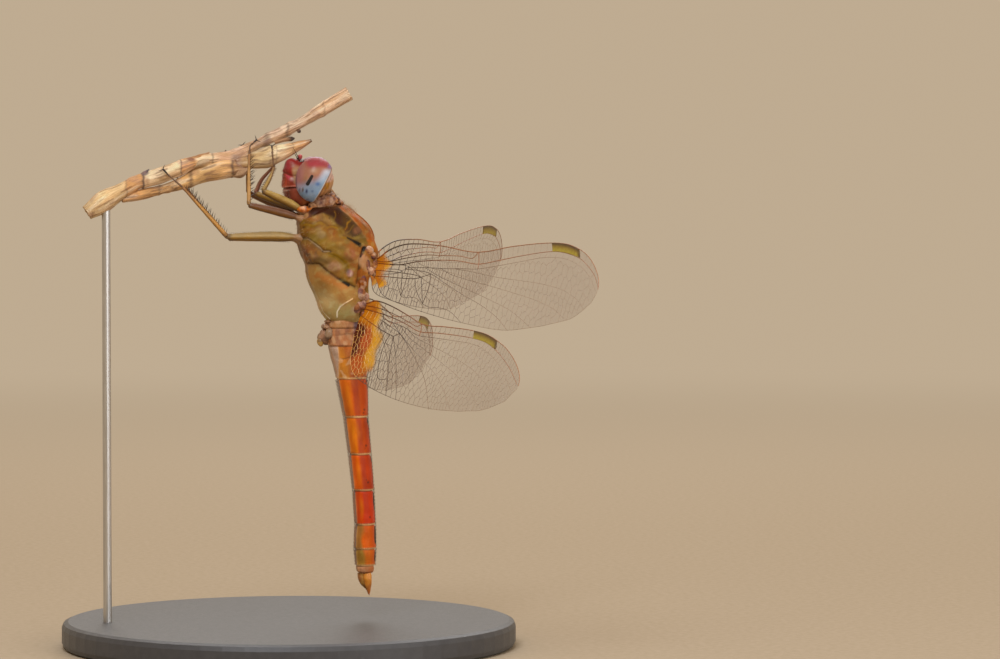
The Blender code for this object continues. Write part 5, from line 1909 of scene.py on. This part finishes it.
def leg_thorns(place, side, points, thick, bow):
    """Spines of the tibia in two rows, small teeth of the femur, forked claws, and bristles of the foot."""
    coxa, knee, ankle, wrap, toe = points
    length, count, tone = SPINES[place]
    thorns = []
    down = unit(ankle - knee)
    inner = unit(np.array((1.0, 0, 0)) - down * down[0])
    outer = np.cross(down, inner)
    for row in (-1, 1):
        for k in range(count):
            share = 0.08 + 0.9 * ((k + 0.25 * (row + 1)) / count) ** 0.85
            lean = unit(inner + outer * 0.5 * row + down * chance.uniform(0.6, 0.9))
            root = between(knee, ankle, share) + 0.07 * (inner + outer * row)
            reach = length * chance.uniform(0.8, 1.1) * (1 - 0.25 * abs(share - 0.6))
            thorns.append((root, root + lean * reach, SPINE_RADIUS, tone))
    for k in range(34):
        share = 0.06 + 0.92 * k / 34
        for row, size in ((-1, 0.13), (1, 0.17)):
            out = np.array((0, 0.1 * side, row * 0.33 * thick * (1 - 0.35 * share)))
            root = between(coxa, knee, share) + bow * 4 * share * (1 - share) + out
            tip = root + np.array((-0.1, 0.05 * side, row * 0.16)) * size / 0.16
            thorns.append((root, tip, FEMUR_TOOTH_RADIUS, (0.03, 0.018, 0.012)))
    way = unit(toe - wrap)
    sides = np.cross(way, (0, 1, 0))
    for turn in (-1, 1):
        for reach, size in ((0.46, 0.06), (0.2, 0.03)):
            tip = toe + sides * turn * reach + way * (0.16 if reach > 0.3 else 0.02)
            thorns.append((toe - way * 0.08, tip, size, (0.015, 0.01, 0.01)))
    for k in range(26):
        share = k / 26
        root = between(ankle, wrap, share * 2) if share < 0.5 else between(wrap, toe, share * 2 - 1)
        lean = np.array((chance.normal() * 0.4, side * chance.uniform(0, 1), chance.normal() * 0.4))
        lean += way * 0.8
        thorns.append((root, root + unit(lean) * 0.24, BRISTLE_RADIUS, (0.03, 0.02, 0.015)))
    return thorns


def build_leg(word, points, look, dark):
    place, hand = word.split("_")
    side = -1 if hand == "left" else 1
    hip, coxa, knee, ankle, wrap, toe = (np.array(mirrored(point, side)) for point in points)
    thick = {"fore": 1.12, "mid": 1.02, "hind": 1.08}[place]
    bow = np.array((0, 0, 0.12 if place == "hind" else 0.05))
    femur = [hip, coxa, between(coxa, knee, 0.3) + bow, between(coxa, knee, 0.7) + bow * 0.6, knee]
    bent = np.array((TIBIA_BOW.get(word, 0), 0, 0))
    tibia = [between(knee, ankle, 0.005), between(knee, ankle, 0.06), between(knee, ankle, 0.5) + bent,
             ankle]
    tarsus = [between(ankle, wrap, 0.02), between(ankle, wrap, 0.5), wrap, between(wrap, toe, 0.55), toe]
    pieces, nodes = [], []
    for part, line, step, swell, furrow in (("femur", femur, 0.1, thick, 0.02), ("tibia", tibia, 0.1, 1, 0),
                                            ("tarsus", tarsus, 0.06, 1, 0)):
        radii = [(share, radius * swell) for share, radius in LEG_RADII[part]]
        piece, share, turn = limb(f"{word}_{part}_skin", line, radii, step, 20, flat=0.9)
        at = places(piece)
        press(piece, 0.006 * mottled(at, 0.5, 62) - furrow * bell(np.cos(turn - 1.2) - 1, 0.02))
        stored(piece, "paint", leg_colours(word, part, share, turn, at))
        pieces.append(piece)
        nodes.append(f"{place}_{part}_{hand}")
    dressed(joined(f"{word}_leg_skin", pieces), look, "cuticle_leg", *nodes)
    thorns = leg_thorns(place, side, (coxa, knee, ankle, wrap, toe), thick, bow)
    bend = [chance.normal(size=3) * 0.015 for _ in thorns]
    dressed(spikes(f"{word}_spines", thorns, bend), dark, "cuticle_leg")


def build_legs():
    look = shell("leg_shell", (6.0, 6.0), (0.3, 0.7), 0.45, (0.8, 0.65, 0.45), (10.0, 0.03), Roughness=0.4)
    dark = dark_finish("leg_spines")
    for word, points in LEGS.items():
        build_leg(word, points, look, dark)


# Tail end


def build_tail():
    """The two upper claspers, the lower one, and the lobes under the second segment."""
    look = shell("tail_shell", (5.0,), (0.3, 0.7), 0.5, (0.85, 0.55, 0.3), (10.0, 0.03), Roughness=0.4)
    for word, side in HANDS:
        line = [(7.35, side * 0.42, 6.8), (7.42, side * 0.44, 6.2), (7.5, side * 0.4, 5.6),
                (7.6, side * 0.33, 4.68)]
        piece, share, _ = limb(f"clasper_{word}", line,
                               [(0, 0.38), (0.15, 0.42), (0.4, 0.37), (0.7, 0.22), (1, 0.015)], 0.06, 32)
        at = places(piece)
        press(piece, 0.015 * mottled(at, 0.3, 71))
        colour = painted((0.62, 0.24, 0.025), [
            (eased((share - 0.6) / 0.4), (0.56, 0.13, 0.01)),
            (0.5 * eased(mottled(at, 0.5, 72)), (0.36, 0.11, 0.03)),
        ])
        stored(piece, "paint", washed(colour, eased((share - 0.95) / 0.04), (0.1, 0.03, 0.02)))
        dressed(piece, look, "cuticle_abdomen", f"cercus_{word}")
    piece, _, _ = limb("lower_clasper", [(6.95, 0, 6.8), (7.0, 0, 6.3), (7.1, 0, 5.9), (7.25, 0, 5.3)],
                       [(0, 0.44), (0.3, 0.44), (0.7, 0.3), (1, 0.03)], 0.06, 32, flat=1.2)
    at = places(piece)
    stored(piece, "paint", washed((0.5, 0.26, 0.05), eased(mottled(at, 0.5, 73)), (0.4, 0.16, 0.04)))
    dressed(piece, look, "cuticle_abdomen", "epiproct")
    lobes = []
    for centre, radii, tone in paired((
        ((3.62, 0, 29.3), (0.78, 0.85, 0.8), (0.36, 0.2, 0.12)),
        ((3.15, 0, 29.3), (0.42, 0.5, 0.45), (0.36, 0.22, 0.12)),
        ((3.0, 0.3, 28.75), (0.3, 0.24, 0.36), (0.44, 0.27, 0.07)),
        ((3.6, 0, 30.25), (0.5, 1.1, 0.32), (0.36, 0.21, 0.12)),
        ((3.85, 1.0, 29.6), (0.55, 0.5, 0.55), (0.3, 0.2, 0.12)),
        ((4.1, 0, 30.75), (0.7, 1.4, 0.22), (0.4, 0.22, 0.13)),
    )):
        lobe = ball("lobe", centre, radii, 40, 28)
        at = places(lobe)
        press(lobe, 0.04 * mottled(at, 0.4, 74))
        stored(lobe, "paint", washed(tone, 0.6 * eased(mottled(at, 0.35, 75)), (0.14, 0.08, 0.05)))
        lobes.append(lobe)
    dressed(joined("underside_lobes", lobes), look, "cuticle_abdomen")


RIDGE_TEETH_PITCH, RIDGE_TOOTH_RADIUS = 0.13, 0.05


def build_teeth():
    """The rows of tiny black teeth along the three ridges of the abdomen."""
    teeth = []
    rows = np.array(JOINTS)[::-1]
    for z in np.arange(7.6, 25.2, RIDGE_TEETH_PITCH):
        front, back, half = (np.interp(z, rows[:, 0], rows[:, k]) for k in (1, 2, 3))
        for y, x, out in ((0.0, back + 0.12, (0.15, 0, -0.1)),
                          (half * 0.5, front - 0.02, (-0.13, 0.03, -0.1)),
                          (-half * 0.5, front - 0.02, (-0.13, -0.03, -0.1))):
            root = (x - 0.04 * np.sign(out[0]), y, z)
            teeth.append((root, (x + out[0], y + out[1], z + out[2]), RIDGE_TOOTH_RADIUS,
                          (0.02, 0.008, 0.006)))
    dressed(spikes("abdomen_teeth", teeth), dark_finish("ridge_teeth"), "cuticle_abdomen")


# Twig and stand

# places down the middle of each stem with the radius there
TWIG_MAIN = [((-19.0, 0.0, 41.05), 0.7), ((-17.4, 0.05, 42.1), 0.95), ((-15.8, 0.0, 43.05), 0.76),
             ((-14.4, 0.0, 43.85), 0.62), ((-13.3, 0.0, 44.15), 0.66), ((-12.05, 0.0, 44.57), 0.76),
             ((-10.3, 0.0, 45.24), 0.68), ((-8.7, 0.0, 45.85), 0.52), ((-6.9, 0.0, 46.1), 0.6),
             ((-5.3, 0.05, 46.35), 0.6), ((-3.95, 0.1, 46.95), 0.55), ((-2.3, 0.2, 47.8), 0.52),
             ((1.0, 0.2, 49.4), 0.55), ((3.4, 0.1, 50.85), 0.6), ((5.8, 0.0, 52.3), 0.68)]
TWIG_UNDER = [((-15.7, 0.0, 42.35), 0.4), ((-13.5, 0.1, 42.86), 0.48), ((-11.0, 0.1, 43.5), 0.5),
              ((-9.25, 0.1, 44.2), 0.7), ((-7.6, 0.05, 44.86), 0.85), ((-6.0, 0.0, 45.24), 0.92),
              ((-4.8, 0.0, 45.33), 0.72), ((-4.1, 0.0, 45.5), 0.5)]
TWIG_SPUR = [((-4.9, 0.0, 45.75), 0.6), ((-3.5, -0.05, 46.03), 0.82), ((-2.3, -0.05, 46.2), 0.95),
             ((-1.6, -0.05, 46.4), 0.93), ((0.0, -0.05, 46.97), 0.6), ((1.15, -0.05, 47.42), 0.35),
             ((2.2, -0.05, 47.88), 0.13)]
PALE_STRAW, TAN, CREAM, ROSY = (0.74, 0.52, 0.27), (0.64, 0.33, 0.13), (0.84, 0.6, 0.36), (0.7, 0.43, 0.27)
# colours by X
MAIN_TONES = [(-19, PALE_STRAW), (-15.6, PALE_STRAW), (-15.2, TAN), (-13.9, TAN), (-13.5, CREAM),
              (-10.3, CREAM), (-10.1, TAN), (-8.9, TAN), (-8.6, CREAM), (-7.2, CREAM), (-6.4, ROSY),
              (-1, (0.8, 0.56, 0.4)), (5.8, (0.8, 0.54, 0.35))]
UNDER_TONES = [(-15.7, TAN), (-11, (0.74, 0.4, 0.14)), (-8, (0.84, 0.52, 0.21)), (-5.5, (0.76, 0.45, 0.2)),
               (-4, (0.44, 0.25, 0.17))]
SPUR_TONES = [(-4.9, (0.4, 0.22, 0.15)), (-3.7, (0.78, 0.54, 0.25)), (-1.8, (0.82, 0.6, 0.32)),
              (-0.5, (0.84, 0.64, 0.42)), (0.5, (0.7, 0.42, 0.2)), (1.5, (0.6, 0.28, 0.11)),
              (1.95, (0.36, 0.16, 0.07)), (2.1, (0.02, 0.012, 0.01))]
# dark marks (X, strength, width) and swollen joints (X, height, width)
MAIN_MARKS = [(-13.72, 0.9, 0.12), (-10.2, 0.75, 0.07), (-15.3, 0.4, 0.08), (-7.2, 0.5, 0.1),
              (-2.1, 0.5, 0.3), (-0.1, 0.5, 0.12), (3.4, 0.35, 0.1)]
MAIN_SWELLINGS = [(-13.7, 0.07, 0.16), (-10.2, 0.05, 0.12), (-14.9, 0.06, 0.3), (-8.2, 0.09, 0.5),
                  (-5.2, 0.06, 0.3), (-2.0, 0.1, 0.3), (0.1, 0.07, 0.25), (3.4, 0.06, 0.2)]
# blots on the main stem: centre, radii, colour, strength
MAIN_BLOTS = (
    ((-13.35, -0.5, 44.1), (0.4, 0.5, 0.5), (0.5, 0.27, 0.14), 0.7),
    ((-9.3, -0.5, 46.0), (0.55, 0.7, 0.45), (0.3, 0.12, 0.07), 0.9),
    ((-13.5, -0.2, 44.8), (0.5, 0.8, 0.3), (0.2, 0.15, 0.17), 0.9),
    ((-5.0, -0.6, 46.3), (0.8, 0.5, 0.5), (0.42, 0.3, 0.27), 0.6),
    ((-1.9, -0.3, 47.7), (0.9, 0.5, 0.4), (0.36, 0.24, 0.2), 0.6),
    ((-11.9, -0.6, 44.3), (0.5, 0.4, 0.4), (0.45, 0.26, 0.1), 0.5),
)
# buds and stubs: line, radii along it, colour, colour of the tip
BUDS = (
    ([(-14.0, -0.1, 44.2), (-13.6, -0.1, 44.75), (-13.15, -0.05, 45.15)],
     [(0, 0.28), (0.5, 0.24), (1, 0.03)], (0.3, 0.2, 0.18), (0.12, 0.1, 0.14)),
    ([(-8.9, -0.1, 46.05), (-8.1, -0.15, 46.4), (-7.45, -0.1, 46.75)],
     [(0, 0.3), (0.4, 0.3), (1, 0.05)], (0.6, 0.3, 0.12), (0.6, 0.36, 0.2)),
    ([(-6.5, 0.0, 46.35), (-6.1, -0.02, 46.6), (-5.9, -0.02, 46.95)],
     [(0, 0.2), (0.5, 0.16), (1, 0.04)], (0.4, 0.22, 0.12), (0.05, 0.03, 0.03)),
    ([(-5.4, 0.0, 46.6), (-5.1, 0.0, 46.85), (-4.95, 0.0, 47.1)], [(0, 0.18), (0.5, 0.14), (1, 0.04)],
     (0.4, 0.22, 0.12), (0.05, 0.03, 0.03)),
    ([(-1.3, 0.1, 47.75), (-0.4, 0.0, 47.95), (0.6, -0.05, 48.05)],
     [(0, 0.24), (0.6, 0.2), (0.85, 0.22), (1, 0.06)], (0.5, 0.28, 0.14), (0.03, 0.02, 0.02)),
    ([(0.5, 0.1, 49.0), (0.9, 0.05, 48.85), (1.15, 0.0, 48.62)],
     [(0, 0.12), (0.5, 0.08), (0.75, 0.2), (1, 0.08)], (0.3, 0.16, 0.1), (0.06, 0.04, 0.04)),
    ([(-9.0, -0.2, 45.3), (-8.3, -0.45, 45.75), (-7.2, -0.5, 46.05)],
     [(0, 0.1), (0.5, 0.34), (1, 0.05)], (0.68, 0.5, 0.3), (0.7, 0.52, 0.34)),
    ([(-12.2, -0.2, 42.95), (-11.3, -0.25, 43.25), (-10.5, -0.2, 43.35)],
     [(0, 0.08), (0.5, 0.3), (1, 0.04)], (0.62, 0.36, 0.15), (0.35, 0.2, 0.1)),
    ([(-5.3, -0.3, 44.5), (-4.6, -0.35, 44.75), (-3.6, -0.3, 45.4)],
     [(0, 0.12), (0.4, 0.42), (1, 0.1)], (0.52, 0.32, 0.17), (0.5, 0.33, 0.2)),
)


def stem(name, knots, tones, dark_marks, swellings, seed):
    """One stem: fibrous and streaked along its length, with swollen joints, dark marks by X and painted
    shade underneath.
    """
    line = [place for place, _ in knots]
    walked = walked_along(line)
    radii = [(w / walked[-1], r) for w, (_, r) in zip(walked, knots)]
    piece, share, turn = limb(name, line, radii, 0.07, 64, (0, 0, 1))
    at = places(piece)
    x = at[:, 0]
    fibre = np.stack([share * walked[-1] * 0.35, np.cos(turn) * 1.3, np.sin(turn) * 1.3], 1)
    ridges, fine = mottled(fibre, 0.55, seed), mottled(fibre, 0.25, seed + 1)
    uneven = mottled(at, 1.6, seed + 2)
    heights = 0.028 * ridges + 0.014 * fine + 0.035 * uneven
    for place, rise, width in swellings:
        heights += rise * bell(x - place, width)
    press(piece, heights)
    colour = np.stack([np.interp(x, [t[0] for t in tones], [t[1][k] for t in tones]) for k in range(3)], 1)
    colour = painted(colour, [
        (0.5 * eased(ridges * 1.2), (0.5, 0.27, 0.1)),
        (0.5 * eased(-ridges * 1.3 - 0.2), (0.86, 0.7, 0.5)),
        (0.6 * eased(fine * 1.5 - 0.7), (0.22, 0.1, 0.05)),
        (0.35 * eased(mottled(at, 0.7, seed + 3) * 1.5 - 0.8), (0.42, 0.24, 0.17)),
        # painted shade on the underside of the stem
        (0.3 * eased(-np.cos(turn) * 1.4), (0.36, 0.19, 0.08)),
    ])
    for place, strength, width in dark_marks:
        colour = washed(colour, strength * bell(x - place + 0.06 * ridges, width), (0.08, 0.045, 0.035))
    stored(piece, "paint", np.clip(colour * (1.16, 1.2, 1.2) * (1 + 0.1 * uneven)[:, None], 0, 0.95))
    stored(piece, "fibre", fibre)
    return piece


def patch(piece, centre, radii, tone, strength):
    """Washes a soft blot of colour over what a stem already has."""
    at = places(piece)
    layer = piece.data.attributes["paint"].data
    colour = np.empty(len(at) * 4, dtype=np.float32)
    layer.foreach_get("color", colour)
    colour = colour.reshape(-1, 4)
    mask = strength * spot(at + 0.06 * mottled(at, 0.4, 81)[:, None], np.array(centre), np.array(radii))
    colour[:, :3] = washed(colour[:, :3], np.clip(mask * 1.5, 0, strength), tone)
    layer.foreach_set("color", colour.ravel())


def build_twig():
    look = Finish("dry_stem", Roughness=0.7)
    along = look.add("ShaderNodeVectorMath", {"operation": "MULTIPLY"},
                     {0: look.kept_colour("fibre"), 1: (1.0, 4.5, 4.5)})
    stripes = look.noise(3.2, 6.0, along, 0.65)
    paint = look.kept_colour("paint")
    darker = look.mix(0.6, paint, (0.55, 0.4, 0.28), "MULTIPLY")
    look.feed(Base_Color=look.mix(stripes.step(0.36, 0.62), darker, paint))
    look.bump(stripes + look.noise(7.0) * 0.4, 0.09)
    main = stem("main_stem", TWIG_MAIN, MAIN_TONES, MAIN_MARKS, MAIN_SWELLINGS, 80)
    for centre, radii, tone, strength in MAIN_BLOTS:
        patch(main, centre, radii, tone, strength)
    under = stem("under_stem", TWIG_UNDER, UNDER_TONES,
                 [(-9.25, 0.6, 0.2), (-5.35, 0.75, 0.14), (-12.2, 0.4, 0.1), (-10.6, 0.35, 0.12)],
                 [(-9.2, 0.05, 0.2), (-5.3, 0.09, 0.2), (-12.2, 0.05, 0.15)], 90)
    patch(under, (-4.6, -0.6, 45.7), (0.7, 0.6, 0.4), (0.26, 0.17, 0.16), 0.8)
    spur = stem("spur", TWIG_SPUR, SPUR_TONES, [(-3.8, 0.7, 0.12), (-1.2, 0.35, 0.07), (0.4, 0.3, 0.06)],
                [(-3.7, 0.05, 0.15), (-2.0, 0.05, 0.5)], 100)
    extras = []
    for line, radii, tone, tip in BUDS:
        up = (0, 0, 1) if abs(line[2][2] - line[0][2]) < 1 else (1, 0, 0)
        piece, share, turn = limb("bud", line, radii, 0.06, 28, up)
        fibre = np.stack([share * 0.6, np.cos(turn), np.sin(turn)], 1)
        press(piece, 0.02 * mottled(fibre, 0.4, 111))
        colour = washed(tone, eased((share - 0.55) / 0.35), tip)
        stored(piece, "paint", washed(colour, 0.4 * eased(mottled(fibre, 0.3, 112)), (0.3, 0.17, 0.09)))
        stored(piece, "fibre", fibre)
        extras.append(piece)
    dressed(joined("twig_skin", [main, under, spur, *extras]), look, "twig", "twig")


def finish_stand(nodes):
    paint = Finish("satin_charcoal", Roughness=0.42)
    paint.feed(Base_Color=paint.ramp(paint.noise(1.2, 5.0),
                                     [(0.3, (0.045, 0.045, 0.05)), (0.7, (0.06, 0.06, 0.064))]),
               Roughness=0.36 + paint.noise(3.0) * 0.14)
    paint.bump(paint.noise(9.0), 0.02)
    steel = Finish("brushed_steel", Metallic=1.0, Roughness=0.3)
    brushed = steel.noise(6.0, 5.0, steel.stretched((1.0, 1.0, 0.05)))
    steel.feed(Base_Color=steel.ramp(brushed, [(0.3, (0.5, 0.5, 0.5)), (0.7, (0.66, 0.65, 0.64))]),
               Roughness=0.24 + brushed * 0.2)
    for name, look in (("stand_base", paint), ("stand_rod", steel)):
        nodes[name].data.materials.clear()
        nodes[name].data.materials.append(look.material)


# Fine hair

HAIR_RADIUS = 0.009


def hairs(name, body, share_of, count, length, lie, tone, inside, sort=False):
    """Thin hairs that grow from a body where share_of(points, normals) is high, leaning towards lie."""
    at, out = places(body), outward(body)
    if sort:  # the points of the thorax aren't numbered alike in every run
        order = np.lexsort(np.round(at, 2).T)
        at, out = at[order], out[order]
    weight = share_of(at, out)
    pick = chance.choice(len(at), count, p=weight / weight.sum())
    root = at[pick] - 0.02 * out[pick]
    way = unit(out[pick] + np.array(lie) + 0.35 * chance.normal(size=(count, 3)))
    long = length * chance.uniform(0.55, 1.15, count)
    bend = np.cross(way, chance.normal(size=(count, 3))) * 0.06 * long[:, None]
    colours = np.array(tone) * chance.uniform(0.7, 1.2, (count, 1))
    tip = root + way * long[:, None]
    return rooted(spikes(name, zip(root, tip, [HAIR_RADIUS] * count, colours), bend), inside)


def build_hair(thorax, face, collar):
    look = Finish("fine_hair", Roughness=0.5)
    look.feed(Base_Color=look.mix(look.noise(4.0), look.kept_colour("paint"), (0.5, 0.38, 0.25)))
    body = (5.0, 30.5, 43.5)
    front = hairs(
        "thorax_front_hair", thorax,
        lambda at, out: eased((at[:, 2] - 40.6) / 0.6) * eased((at[:, 0] - 4.7) / 0.5)
        * eased((1.5 - abs(at[:, 1])) / 0.5),
        200, 0.6, (0.1, 0, 0.5), (0.34, 0.2, 0.09), body, sort=True)
    flank = hairs(
        "thorax_side_hair", thorax,
        lambda at, out: (at[:, 2] < 41.5) * (at[:, 2] > 31.5) * (0.25 + eased((2.2 - at[:, 0]) / 1.2)),
        420, 0.28, (-0.2, 0, -0.5), (0.3, 0.18, 0.08), body, sort=True)
    dressed(front, look, "cuticle_thorax")
    dressed(flank, look, "cuticle_thorax")
    beard = hairs(
        "face_hair", face,
        lambda at, out: eased((0.1 - at[:, 0]) / 0.3) * (0.4 + eased((43.3 - at[:, 2]) / 0.4)),
        240, 0.26, (-0.1, 0, -0.2), (0.14, 0.06, 0.035), (1.1, 41.4, 46.2))
    dressed(beard, look, "cuticle_head")
    ruff = hairs(
        "collar_hair", collar,
        lambda at, out: eased((out[:, 0] + out[:, 2]) / 0.6) * eased((at[:, 0] - 2.6) / 0.6),
        170, 0.5, (0.5, 0, 0.4), (0.4, 0.24, 0.12), (3.3, 41.0, 43.2))
    dressed(ruff, look, "cuticle_thorax")


set_camera()
set_studio()
thorax = build_thorax()
build_hinges()
build_abdomen()
face, collar = build_head()
build_legs()
build_tail()
build_teeth()
build_hair(thorax, face, collar)
build_twig()
finish_stand(frame["nodes"])
build_wings()
